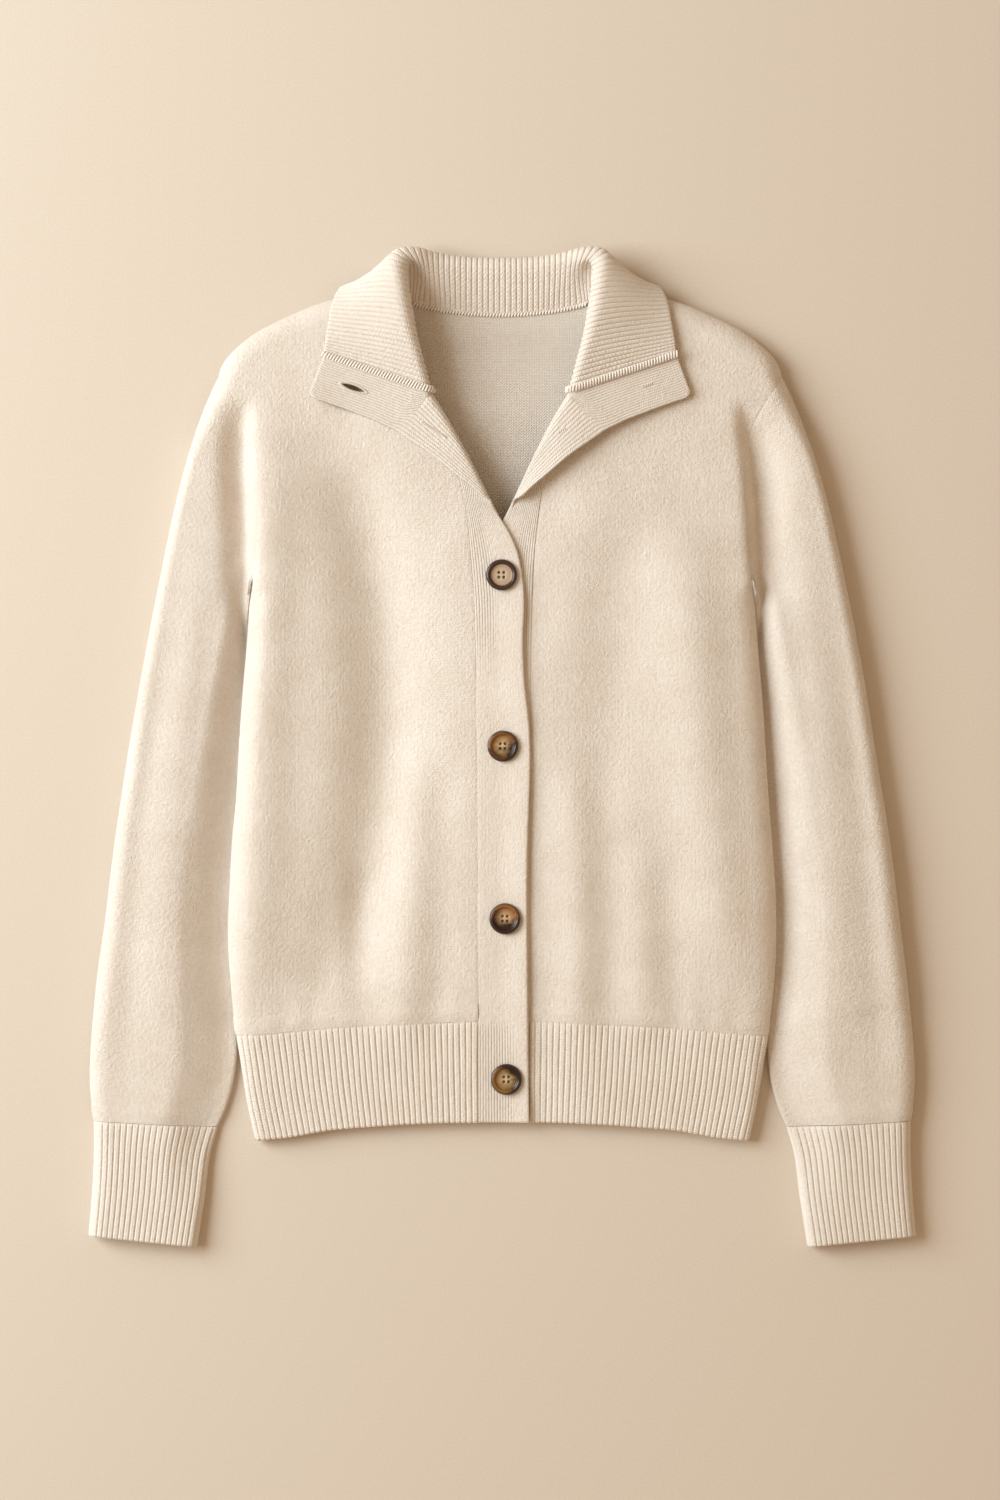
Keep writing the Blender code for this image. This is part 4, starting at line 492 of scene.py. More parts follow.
def back_height(x, y):
    """Height of the back's under face, which rests on the floor but for its curled edges."""
    u = np.abs(x)
    roll = BACK_ROLL * np.interp(y, ROLL_NARROWING["y"], ROLL_NARROWING["share"])
    flat = flat_share(u, y, roll, BACK_SHOULDER_ROLL)
    neck = soft_step((y - BACK_NECK_RISE["y"]) / BACK_NECK_RISE["y_fade"])
    neck = neck * soft_step((BACK_NECK_RISE["u"] - u) / BACK_NECK_RISE["u_fade"])
    return look_up(CROWN, "y", "seam", y) * (1.0 - flat) + BACK_NECK_RISE["lift"] * neck * flat


def front_face(x, y):
    """Height of the front's upper face, parted from the back where the two are sewn together."""
    return front_height(x, y) + HALF_GAP * (1.0 - flat_share(np.abs(x), y, SEAM_ROLL, SEAM_ROLL))


def back_face(x, y):
    """Height of the back's under face, parted from the front in the same way."""
    parting = 1.0 - flat_share(np.abs(x), y, SEAM_ROLL, SEAM_ROLL)
    return back_height(x, y) - HALF_GAP * parting * (np.abs(x) > NECK_POINT[0] - 2.0)


def square_to_seam(normals, across):
    """Normals with the part that points across a seam taken out, so the wall ends square to it."""
    across = unit(across)
    return unit(normals - np.sum(normals * across, axis=-1, keepdims=True) * across)


def height_face(plan, height, up, seams):
    """Points and normals of a height surface over a plan grid; up is -1 for an under face.

    seams lists (index, across, upright): the grid's part, the level directions across its seam, and
    whether the wall stands upright there, as it does round a side roll.
    """
    x, y, step = plan[..., 0], plan[..., 1], SLOPE_STEP
    slope_x = (height(x + step, y) - height(x - step, y)) / (2 * step)
    slope_y = (height(x, y + step) - height(x, y - step)) / (2 * step)
    normals = unit(np.stack([-slope_x, -slope_y, np.ones_like(slope_x)], axis=-1) * up)
    for index, across, upright in seams:
        normals[index] = across if upright else square_to_seam(normals[index], across)
    return np.concatenate([plan, height(x, y)[..., None]], axis=-1), normals


def grid_normals(grid, sample, up=1.0, closed=False):
    """Unit normals of a grid, turned so that the sample's points up (or down, with up -1).

    closed wraps the grid's second axis.
    """
    if closed:
        columns = (np.roll(grid, -1, axis=1) - np.roll(grid, 1, axis=1)) / 2.0
    else:
        columns = np.gradient(grid, axis=1)
    normals = unit(np.cross(columns, np.gradient(grid, axis=0)))
    return normals if normals[sample][2] * up > 0.0 else -normals


def outward_of(line):
    """Level unit vectors square to a line of points, on the right of its direction."""
    run = np.gradient(line[:, :2], axis=0)
    return unit(np.stack([run[:, 1], -run[:, 0], np.zeros(len(run))], axis=-1))


def coons(bottom, top, left, right, columns, rows):
    """Plan grid that blends four boundary curves, each given as a function of a 0-1 share."""
    u, v = np.asarray(columns)[None, :, None], np.asarray(rows)[:, None, None]
    low, high = bottom(columns)[None], top(columns)[None]
    corners = ((1 - u) * (1 - v) * low[:, :1] + u * (1 - v) * low[:, -1:]
               + (1 - u) * v * high[:, :1] + u * v * high[:, -1:])
    return (1 - v) * low + v * high + (1 - u) * left(rows)[:, None] + u * right(rows)[:, None] - corners


# ---------------------------------------------------------------- sampling and relief

def stepped(length, step, start=True, end=True):
    """Shares along a length of cloth, about one step apart, with finer ones at its edges."""
    fine = np.array(EDGE_STEPS) / length
    first, last = (fine[-1] if start else 0.0), (1.0 - fine[-1] if end else 1.0)
    middle = np.linspace(first, last, max(round((last - first) * length / step), 2) + 1)
    return np.concatenate([fine[:-1] if start else [], middle, 1.0 - fine[-2::-1] if end else []])


def ribbed(ribs):
    """Shares across a number of ribs, closer together in the grooves, and the count of ribs at each."""
    turns = np.concatenate([(np.arange(ribs)[:, None] + np.array(RIB_STEPS)).ravel(), [ribs]])
    return turns / ribs, turns


def rib_cord(turns):
    """Height of a row of rounded cords: 0 in each groove, where turns is whole, and 1 on each crest."""
    return np.clip(1.0 - np.abs(2.0 * (turns % 1.0) - 1.0) ** 3.0, 0.0, 1.0) ** 0.6


def rib_relief(cord, from_seam):
    """Relief of a ribbed face whose cords rise over a few millimetres from the seam with plain knit."""
    return RIB_FLOOR + (RIB_RISE - RIB_FLOOR) * cord * soft_step(0.25 + from_seam / RIB_START)


def swell(x, y):
    """Slow unevenness of cloth laid out by hand, between about -1 and 1."""
    total = 0.0
    for wave in table_rows(SWELLS):
        turn = np.radians(wave["heading"])
        run = (x * np.cos(turn) + y * np.sin(turn)) / wave["length"]
        total = total + wave["share"] * np.sin(run + wave["phase"])
    return total


def path_lengths(face, axis):
    """Distance over the cloth from the grid's first row (axis 0) or column (axis 1) to each point."""
    lengths = np.cumsum(np.linalg.norm(np.diff(face, axis=axis), axis=-1), axis=axis)
    return np.concatenate([np.zeros_like(np.take(lengths, [0], axis=axis)), lengths], axis=axis)


def cloth_faces(face, normals, relief, free, inner_relief):
    """Outer and inner points of a wall of cloth whose plain outer face is given.

    The free edges, named by the grid's start and end rows or first and last columns, are rounded.
    """
    rows, columns = path_lengths(face, 0), path_lengths(face, 1)
    ways = {"start": rows, "end": rows[-1:] - rows, "last": columns[:, -1:] - columns}
    away = np.minimum.reduce([ways[edge] for edge in free] + [np.full(face.shape[:2], 10.0 * EDGE_ROUND)])
    left = np.maximum(roll_up(away, EDGE_ROUND), EDGE_THINNEST)
    middle = face - normals * CLOTH / 2.0
    return (middle + normals * ((CLOTH / 2.0 + relief) * left)[..., None],
            middle - normals * ((CLOTH / 2.0 + inner_relief) * left)[..., None])


# ---------------------------------------------------------------- meshes

def placed(points):
    """Table points in millimetres as points of the frame in metres."""
    points = np.array(points, float)
    share = soft_step((points[..., 1] - COLLAR_LEAN["y"]) / COLLAR_LEAN["y_fade"])
    points[..., 0] += COLLAR_LEAN["x"] * share
    return (points + FRAME_SHIFT) * MM


def grid_corners(rows, spans):
    """Row and column numbers of the four corners of each of a grid's quads."""
    i, j = (a.ravel() for a in np.meshgrid(np.arange(rows - 1), np.arange(spans), indexing="ij"))
    steps = ((0, 0), (0, 1), (1, 1), (1, 0))
    return np.stack([np.stack([i + a, j + b], axis=-1) for a, b in steps], axis=1)


def rim_corners(rows, spans, inner_spans, closed):
    """Corners (inner, row, column) of the faces that join the edges of the two sides of a wall."""
    ratio = spans // inner_spans
    faces = []
    for i in (0, rows - 1):
        for j in range(inner_spans):
            first, half = j * ratio, j * ratio + ratio // 2
            for k in range(first, first + ratio):
                faces.append(((0, i, k), (0, i, k + 1), (1, i, j + (k >= half))))
            faces.append(((0, i, half), (1, i, j), (1, i, j + 1)))
    if not closed:
        for i in range(rows - 1):
            for j, k in ((0, 0), (spans, inner_spans)):
                faces.append(((0, i, j), (0, i + 1, j), (1, i + 1, k), (1, i, k)))
    return faces


def cloth_mesh(name, outer, inner, flat, materials, closed, nap, groove):
    """Closed mesh of a wall of cloth, with its own map of the flat cloth in centimetres.

    flat holds that map for the outer grid, with one column more than the grid where it is closed. The
    inner grid has one column for each of the outer grid's, or for each group of them.
    """
    rows, columns = outer.shape[:2]
    inner_columns = inner.shape[1]
    spans, inner_spans = (columns, inner_columns) if closed else (columns - 1, inner_columns - 1)
    ratio = spans // inner_spans
    split = rows * columns

    def vertex(inside, i, j):
        return split + i * inner_columns + j % inner_columns if inside else i * columns + j % columns

    over, under = grid_corners(rows, spans), grid_corners(rows, inner_spans)
    rims = rim_corners(rows, spans, inner_spans, closed)
    faces = vertex(False, over[..., 0], over[..., 1]).tolist()
    faces += vertex(True, under[..., 0], under[..., 1]).tolist()
    faces += [[vertex(*corner) for corner in face] for face in rims]
    spots = [flat[over[..., 0], over[..., 1]].reshape(-1, 2),
             flat[under[..., 0], under[..., 1] * ratio].reshape(-1, 2),
             np.array([flat[i, j * ratio if inside else j] for face in rims for inside, i, j in face])]
    mesh = bpy.data.meshes.new(name)
    vertices = placed(np.concatenate([outer.reshape(-1, 3), inner.reshape(-1, 3)]))
    mesh.from_pydata(vertices.tolist(), [], faces)
    mesh.uv_layers.new(name=FLAT_MAP).data.foreach_set("uv", np.concatenate(spots).ravel())
    below = len(vertices) - split
    # groove sets where the wool materials darken the colour as painted shade in rib grooves
    grooves = np.broadcast_to(groove, (rows, columns)).ravel()
    grooves = np.concatenate([grooves, grooves if inner_columns == columns else np.zeros(below)])
    for attribute, values in (("nap", np.repeat(nap, (split, below))), ("groove", grooves)):
        mesh.attributes.new(attribute, "FLOAT", "POINT").data.foreach_set("value", values)
    for material in materials:
        mesh.materials.append(material)
    side = np.zeros(len(faces), dtype=np.int32)
    side[len(over):len(over) + len(under)] = len(materials) - 1
    mesh.polygons.foreach_set("material_index", side)
    bm = bmesh.new()
    bm.from_mesh(mesh)
    bmesh.ops.recalc_face_normals(bm, faces=bm.faces[:])
    bm.to_mesh(mesh)
    bm.free()
    mesh.shade_smooth()
    return mesh


def new_piece(name, mesh):
    """Mesh as an object at the origin, in the garment's collection."""
    garment = bpy.data.collections.get("cardigan") or bpy.data.collections.new("cardigan")
    if garment.name not in bpy.context.scene.collection.children:
        bpy.context.scene.collection.children.link(garment)
    piece = bpy.data.objects.new(name, mesh)
    garment.objects.link(piece)
    return piece


def in_scene(name, data):
    """Helper object, lamp or camera in the scene's own collection."""
    holder = bpy.data.objects.new(name, data)
    bpy.context.scene.collection.objects.link(holder)
    return holder


def ring(grid):
    """Grid of a tube with its first column repeated at the end."""
    return np.concatenate([grid, grid[:, :1]], axis=1)


def dress(name, face, normals, relief, flat, materials, nodes=(), free=(), inner_relief=0.0,
          every=1, adjust=None, cutter=None, closed=False, nap=(1.0, 0.0), groove=0.0):
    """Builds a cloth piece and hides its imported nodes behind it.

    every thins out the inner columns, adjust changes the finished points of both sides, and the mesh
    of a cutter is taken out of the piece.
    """
    nodes = nodes or [name]
    outer, inner = cloth_faces(face, normals, relief, free, inner_relief)
    if adjust:
        outer, inner = adjust(outer, inner)
    name = "knit_" + name
    mesh = cloth_mesh(name, outer, inner[:, ::every], flat, materials, closed, nap, groove)
    piece = new_piece(name, mesh)
    if cutter:
        cut_out(piece, cutter)
    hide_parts(*nodes)
    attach(piece, "root")


# ---------------------------------------------------------------- body

def body_rows(step=BODY_STEP):
    """Shares up the body, below and above the underarm, and the number of rows below it."""
    below = UNDERARM_SHARE * stepped(315.0, step, end=False)[:-1]
    above = UNDERARM_SHARE + (1.0 - UNDERARM_SHARE) * stepped(200.0, step, start=False)
    return np.concatenate([below, above]), len(below)


def side_curve(share):
    """Side seam and armhole at shares up the body."""
    seam = np.column_stack([BODY_SIDE["u"], BODY_SIDE["y"]])[HEM_SIDE_ROWS:]
    seam[0, 1] += HALF_GAP
    points = two_lines(smooth_curve(seam), table_curve(ARMHOLE), UNDERARM_SHARE, share)
    points[:, 0] -= np.where(share > UNDERARM_SHARE, HALF_GAP, 0.0)
    return points


def above_hem(u):
    """Plan points just above the hem seam."""
    return np.stack([u, np.interp(u, *table_curve(HEM_SEAM).T) + HALF_GAP], axis=-1)


def band_seam_curve(side):
    return smooth_curve(list(zip(BAND_SEAM[side], BAND_SEAM["y"]))[1:])


def front_plan(side):
    """Plan grid of one front, from the band seam (column 0) to the side (last column)."""
    climb = band_seam_curve(side)
    first = climb[0, 0] + HALF_GAP

    def bottom(share):
        return above_hem(first + (HEM_SEAM["u"][-1] - first) * share)

    def top(share):
        return along(table_curve(SHOULDER)[::-1], share)

    def left(share):
        points = two_lines(climb, table_curve(FRONT_NECK), NECK_CORNER_SHARE, share)
        points[:, 0] += HALF_GAP * (1.0 - soft_step((share - 0.97) / 0.03))
        points[0], points[-1] = bottom(0.0), top(0.0)
        return points

    return coons(bottom, top, left, side_curve, stepped(175.0, BODY_STEP), body_rows()[0]) * (side, 1.0)


def side_seams(plan, side, rows_upright):
    """Seam rules of a body panel's side column: upright on the side seam, square beside the armhole."""
    column = plan.shape[1] - 1 if side > 0 else 0
    across = outward_of(plan[:, column]) * side
    return [(np.s_[:rows_upright, column], across[:rows_upright], True),
            (np.s_[rows_upright:, column], across[rows_upright:], False)]


def body_relief(face):
    """Swell of a body panel, its crease along the armhole seam and its puff and gathers over the hem."""
    x, y = face[..., 0], face[..., 1]
    hem = y - np.interp(np.abs(x), *table_curve(HEM_SEAM).T)
    gathers = np.sin(x / GATHER["length"] + 2.0 * np.sin(x / GATHER["drift"]))
    gathers = gathers * soft_step((GATHER["reach"] - hem) / GATHER["reach"]) * soft_step(hem / 6.0)
    to_seam = np.stack([np.abs(x), y], axis=-1)[..., None, :] - table_curve(ARMHOLE)[::3]
    crease = near(np.min(np.linalg.norm(to_seam, axis=-1), axis=-1), CREASE_REACH) * seam_shown(y)
    puff = HEM_PUFF["rise"] * near(hem - HEM_PUFF["from_seam"], HEM_PUFF["reach"])
    return BODY_SWELL * swell(x, y) + puff + GATHER["rise"] * gathers - SEAM_DIP * crease


def seam_shown(y):
    """Share of the armhole seam's crease that shows, which grows towards the shoulder."""
    return soft_step((y - SEAM_SHOWS_FROM) / 25.0)


def hollow_depth(x, y):
    """Depth of the long valley between body and sleeve, just past the armhole seam."""
    depth, right, left = (look_up(ARMHOLE_VALLEY, "y", column, y) for column in ("depth", -1, 1))
    away = np.abs(x) - np.where(x < 0.0, right, left)
    reach = np.where(x < 0.0, VALLEY_SLEEVE_REACH[-1], VALLEY_SLEEVE_REACH[1])
    return depth * near(away, np.where(away < 0.0, VALLEY_BODY_REACH, reach))


def above_underarm(y):
    return soft_step((y - UNDERARM_Y) / UNDERARM_FADE)


def build_front(name, side, materials):
    plan = front_plan(side)[:, ::side]
    band_column = 0 if side > 0 else -1
    seams = [(0, UP_THE_BODY, False), (np.s_[:, band_column], outward_of(plan[:, band_column]), False)]
    seams += side_seams(plan, side, body_rows()[1])
    seams.append((-1, -outward_of(plan[-1]), True))
    face, normals = height_face(plan, front_face, 1.0, seams)
    x, y = face[..., 0], face[..., 1]
    relief = body_relief(face)
    relief -= BAND_SEAM_DIP * near(np.abs(x) - np.interp(y, BAND_SEAM["y"], BAND_SEAM[side]), 0.9)
    face[..., 2] -= hollow_depth(x, y) * above_underarm(y)
    if side < 0:
        hole = (np.array(BUTTONHOLE["from"]) + BUTTONHOLE["to"]) / 2.0 - FRAME_SHIFT[:2]
        away = np.hypot(x - hole[0], y - hole[1])
        face[..., 2] -= BUTTONHOLE["hollow"] * near(away, BUTTONHOLE["hollow_reach"])
    dress(name, face, normals, relief, face[..., :2] / 10.0, materials)


def build_back(name, materials):
    """Back panel: one wall from side to side, with the neckline cut into its upper edge."""
    rows, rows_upright = body_rows(BACK_STEP)
    top_line = np.concatenate([table_curve(BACK_NECK)[::-1], table_curve(SHOULDER)[::-1][1:]])
    low = above_hem(0.0)
    half = coons(lambda share: above_hem(HEM_SEAM["u"][-1] * share), lambda share: along(top_line, share),
                 lambda share: low + (top_line[0] - low) * share[:, None], side_curve,
                 stepped(192.0, BACK_STEP, start=False), rows)
    plan = both_halves(half)
    neck = np.abs(plan[-1, :, 0]) < NECK_POINT[0] - 1.0
    across = -outward_of(plan[-1])
    seams = [(0, UP_THE_BODY, False)]
    seams += side_seams(plan, -1, rows_upright) + side_seams(plan, 1, rows_upright)
    for part, upright in ((neck, False), (~neck, True)):
        seams.append(((-1, np.flatnonzero(part)), across[part], upright))
    face, normals = height_face(plan, back_face, -1.0, seams)
    lift = 0.4 * swell(face[..., 0], face[..., 1]) * soft_step((face[..., 1] - 60.0) / 60.0)
    dress(name, face, normals, 0.0, face[..., :2] / 10.0, materials,
          inner_relief=lift)


def both_halves(half):
    """Plan grid of a left half together with its mirror image."""
    return np.concatenate([half[:, ::-1] * (-1.0, 1.0), half[:, 1:]], axis=1)


# ---------------------------------------------------------------- ribbed hem

def hem_plan(columns, rows, first, lower_by):
    """Plan grid (u, y) of the ribbing, from its lower edge to the hem seam."""
    edge, seam = table_curve(HEM_EDGE), table_curve(HEM_SEAM)
    rows = rows[:, None]
    level = np.interp(HEM_SEAM["u"][-1], *seam.T)
    side = look_up(BODY_SIDE, "y", "u", HEM_EDGE["y"][-1] + (level - HEM_EDGE["y"][-1]) * rows)
    u = first + (side - first) * np.asarray(columns)[None, :]
    low = np.interp(u, *edge.T) - lower_by
    return np.stack([u, low + (np.interp(u, *seam.T) - HALF_GAP - low) * rows], axis=-1)


def hem_seams(right_upright, left_upright):
    """Seam rules of a hem piece, whose side columns stand upright or end square to their seam."""
    outward = np.array([1.0, 0.0, 0.0])
    return [(0, UP_THE_BODY, False), (-1, UP_THE_BODY, False), (np.s_[:, 0], -outward, right_upright),
            (np.s_[:, -1], outward, left_upright)]


def rib_map(turns, face):
    """Map of ribbed cloth: one rib pitch for each rib, and the length along the ribs."""
    return np.stack(np.meshgrid(turns * RIB_PITCH, path_lengths(face, 0).mean(axis=1)), axis=-1) / 10.0


def build_front_hem(name, side, materials):
    first = BAND_SEAM[side][0] + HALF_GAP
    columns, turns = ribbed(round((HEM_SEAM["u"][-1] - first) / RIB_PITCH))
    plan = hem_plan(columns, stepped(72.0, RIB_STEP), first, RIB_SCALLOP * rib_cord(turns)) * (side, 1.0)
    plan, turns = plan[:, ::side], turns[::side]
    face, normals = height_face(plan, front_face, 1.0, hem_seams(side < 0, side > 0))
    run = path_lengths(face, 0)
    cord = rib_cord(turns)

    def wander(outer, inner):
        outer[..., 0] += RIB_WANDER * np.sin(outer[..., 1] / 11.0 + np.floor(turns) * 1.7)
        return outer, inner

    relief = rib_relief(cord, run[-1:] - run)
    dress(name, face, normals, relief, rib_map(turns, face), materials,
          free=["start"], every=len(RIB_STEPS), adjust=wander, groove=1.0 - cord)


def build_back_hem(name, materials):
    """Back hem: one plain piece from side to side."""
    half = hem_plan(stepped(190.0, 4.0, start=False), stepped(74.0, 4.0), 0.0, 1.2)
    face, normals = height_face(both_halves(half), back_face, -1.0, hem_seams(True, True))
    dress(name, face, normals, 0.0, face[..., :2] / 10.0, materials, free=["start"])


# ---------------------------------------------------------------- sleeves and cuffs

def sleeve_fold_rise(across, s):
    rise = 0.0
    for fold in table_rows(SLEEVE_FOLDS):
        t = np.clip((s - fold["s_from"]) / (fold["s_to"] - fold["s_from"]), 0.0, 1.0)
        middle = fold["across_from"] + (fold["across_to"] - fold["across_from"]) * t
        fade = soft_step(t / 0.3) * soft_step((1.0 - t) / 0.25 + 0.2)
        rise = rise + fold["rise"] * fade * near(across - middle, fold["half"])
    return rise


def tube_heights(across, width, top, seam, ramp, fold_radius, rounding):
    """Upper and lower face of a flattened tube, at shares across it from the inner to the outer edge.

    rounding turns the inner edge from a low ramp (0) into a roll like the outer edge's (1).
    """
    outer, inner = (1.0 - across) * width, across * width
    crown = seam + (top - seam) * roll_up(outer, SLEEVE_FRONT_ROLL)
    ramped = soft_step((inner - fold_radius) / ramp)
    climb = (1.0 - rounding) * ramped + rounding * roll_up(inner, CUFF_TOP_ROLL)
    fold = fold_radius * roll_up(inner, fold_radius)
    upper = fold_radius + fold + (crown - 2.0 * fold_radius) * climb
    return upper, seam * (1.0 - roll_up(outer, SLEEVE_BACK_ROLL)) + fold_radius - fold


def sleeve_grid(side):
    """Outer points of a sleeve: rows from the armhole to the cuff, columns once round the tube."""
    across = stepped(100.0, SLEEVE_STEP)
    armhole = along(table_curve(ARMHOLE), across) + (ARMHOLE_GAP - HALF_GAP, 0.0)
    outer_curve, inner_curve = table_curve(SLEEVE_OUTER), table_curve(SLEEVE_INNER)
    start = along(outer_curve, 0.0), along(inner_curve, 0.0)
    straight = start[1] + (start[0] - start[1]) * across[:, None]
    x, y = side * armhole[:, 0], armhole[:, 1]
    rows = []
    for s in stepped(SLEEVE_LENGTH, SLEEVE_STEP * 1.6):
        reach = s * (1.0 - HALF_GAP / SLEEVE_LENGTH)
        outer, inner = along(outer_curve, reach), along(inner_curve, reach ** SLEEVE_INNER_BEND)
        fade = 1.0 - soft_step(s / SLEEVE_ARMHOLE_FADE)
        plan = inner + (outer - inner) * across[:, None]
        plan = plan + (armhole - straight) * fade
        faces = []
        for level, ends in ((s, (outer, inner)), (0.0, start)):
            width = np.linalg.norm(ends[0] - ends[1])
            top = look_up(SLEEVE_CROWN, "s", "top", level) + sleeve_fold_rise(across, level)
            seam = look_up(SLEEVE_CROWN, "s", "seam", level)
            faces.append(tube_heights(across, width, top, seam, SLEEVE_INNER_RAMP, SLEEVE_FOLD_RADIUS, 0.0))
        upper = faces[0][0] + (front_height(x, y) - faces[1][0]) * fade
        lower = faces[0][1] + (back_height(x, y) - faces[1][1]) * fade
        for edge in (-1, 0):
            upper[edge] = lower[edge] = (upper[edge] + lower[edge]) / 2.0
        over, under = np.column_stack([plan, upper]), np.column_stack([plan, lower])
        rows.append(np.concatenate([over, under[-2:0:-1]]))
    return np.array(rows) * (side, 1.0, 1.0), len(across)


def tube_normals(grid, last_top, square_rows):
    """Outward normals of a flattened tube, level at its two folded edges and square at its open ends."""
    normals = grid_normals(grid, (len(grid) // 2, last_top // 2), closed=True)
    edge = unit((grid[:, last_top] - grid[:, 0]) * (1.0, 1.0, 0.0))
    normals[:, 0], normals[:, last_top] = -edge, edge
    for row, across in square_rows:
        if across is None:
            end = grid[row, last_top] - grid[row, 0]
            across = np.array([end[1], -end[0], 0.0])
        normals[row] = square_to_seam(normals[row], across)
    return normals


def tube_map(grid):
    """Map of a tube: the way round it and the way along it, in centimetres."""
    round_it, run = path_lengths(ring(grid), 1).mean(axis=0), path_lengths(grid, 0).mean(axis=1)
    return np.stack(np.meshgrid(round_it, -run), axis=-1) / 10.0


def lower_valley(grid, count, depth, away):
    """Lowers a sleeve's upper face into the valley, and its under face where that is away from the seam."""
    over, under = grid[:, :count, 2], grid[:, :count - 1:-1, 2]
    lowered = np.maximum(over - depth[:, :count], np.minimum(over, VALLEY_FLOOR))
    room = lowered[:, 1:-1] - VALLEY_LEAST_HOLLOW
    sunk = under - (under - np.minimum(under, np.maximum(room, 0.0))) * away[:, 1:count - 1]
    lowered[:, 1:-1] = np.maximum(lowered[:, 1:-1], np.minimum(over[:, 1:-1], sunk + VALLEY_LEAST_HOLLOW))
    edge = np.minimum(over[:, 0], (lowered[:, 1] + sunk[:, 0]) / 2.0)
    lowered[:, 0] = over[:, 0] + (edge - over[:, 0]) * away[:, 0]
    grid[:, :count, 2], grid[:, :count - 1:-1, 2] = lowered, sunk


def build_sleeve(name, side, materials):
    grid, count = sleeve_grid(side)
    out = outward_of(grid[0, :count])
    normals = tube_normals(grid, count - 1, ((0, np.concatenate([out, out[-2:0:-1]])), (-1, None)))
    upward = soft_step((grid[..., 2] - 4.0) / 5.0)
    run, start = path_lengths(grid, 0), grid[:1, :, 1]
    puff = near(run[-1:] - run - HEM_PUFF["from_seam"], HEM_PUFF["reach"])
    relief = BODY_SWELL * swell(grid[..., 1] * 0.8, grid[..., 0]) + HEM_PUFF["rise"] * puff
    relief = (relief - SEAM_DIP * near(run, CREASE_REACH) * seam_shown(start)) * upward
    share = 1.0 - (1.0 - above_underarm(start)) * near(run, VALLEY_SLEEVE_REACH[side])
    lower_valley(grid, count, hollow_depth(grid[..., 0], grid[..., 1]) * share, 1.0 - near(run, 3.0))
    dress(name, grid, normals, relief, tube_map(grid), materials,
          nodes=["upper_" + name, "lower_" + name], every=2, closed=True)


def build_cuff(name, side, materials):
    """Ribbed cuff: raised cords on its upper face, plain where it rests."""
    outer_curve, inner_curve = table_curve(CUFF_OUTER), table_curve(CUFF_INNER)
    shares, turns = ribbed(CUFF_RIBS)
    first, last = CUFF_RIB_EDGES
    lead = np.array(CUFF_LEAD_COLUMNS)
    across = np.concatenate([lead, first + (last - first) * shares, 1.0 - lead[::-1]])
    under = (1.0 - np.linspace(0.0, 1.0, CUFF_UNDER_COLUMNS + 2))[1:-1]
    under = 0.5 + (under - 0.5) * (1.5 - 2.0 * (under - 0.5) ** 2)
    cord, ribs = (np.concatenate([lead * 0.0, middle, lead * 0.0, under * 0.0])
                  for middle in (rib_cord(turns), turns * 0.0 + 1.0))
    rows = []
    for c in CUFF_START + (1.0 - CUFF_START) * stepped(86.0, RIB_STEP):
        outer, inner = along(outer_curve, c), along(inner_curve, c)
        width = np.linalg.norm(outer - inner)
        top, seam, fold, ramp = (np.interp(c, CUFF_CROWN["c"], CUFF_CROWN[column])
                                 for column in ("top", "seam", "fold", "ramp"))
        upper = tube_heights(across, width, top, seam, ramp, fold, c)[0]
        lower = tube_heights(under, width, top, seam, ramp, fold, c)[1]
        lower = lower + c * fold * (roll_up(under * width, fold) - roll_up(under * width, CUFF_UNDER_ROLL))
        plan = inner + (outer - inner) * np.concatenate([across, under])[:, None]
        rows.append(np.column_stack([plan, np.concatenate([upper, lower])]))
    grid = np.array(rows) * (side, 1.0, 1.0)
    normals = tube_normals(grid, len(across) - 1, ((0, None), (-1, None)))
    flat = tube_map(grid)
    rib_columns = len(lead) + np.arange(len(turns))
    flat[:, :, 0] = np.interp(np.arange(flat.shape[1]), rib_columns, turns * RIB_PITCH / 10.0)
    dress(name, grid, normals, rib_relief(cord, path_lengths(grid, 0)) * ribs, flat, materials,
          free=["end"], closed=True, groove=(1.0 - cord) * ribs)


# ---------------------------------------------------------------- collar

def cubic(x, span, first, first_run, last, last_run):
    """Cubic between two values with the given slopes at them, at a share x of the span."""
    return ((1 + 2 * x) * (1 - x) ** 2 * first + x * (1 - x) ** 2 * span * first_run
            + x * x * (3 - 2 * x) * last + x * x * (x - 1) * span * last_run)


def collar_column(column, turn=1.0, shift=0.0):
    """A column of the collar's table, with its mirror stations past the centre back."""
    values = np.array(COLLAR[column], float)
    return np.concatenate([values, shift + values[-2:-4:-1] * turn])


def collar_stations():
    """Distances of the collar's stations along its roll, with mirror stations past the centre back."""
    centres = collar_column("roll", MIRROR)[:, :2]
    return np.concatenate([[0.0], np.cumsum(np.linalg.norm(np.diff(centres, axis=0), axis=1))])


def half_collar():
    """Length of the collar's roll from its front end to the centre back."""
    return collar_stations()[len(COLLAR["r"]) - 1]


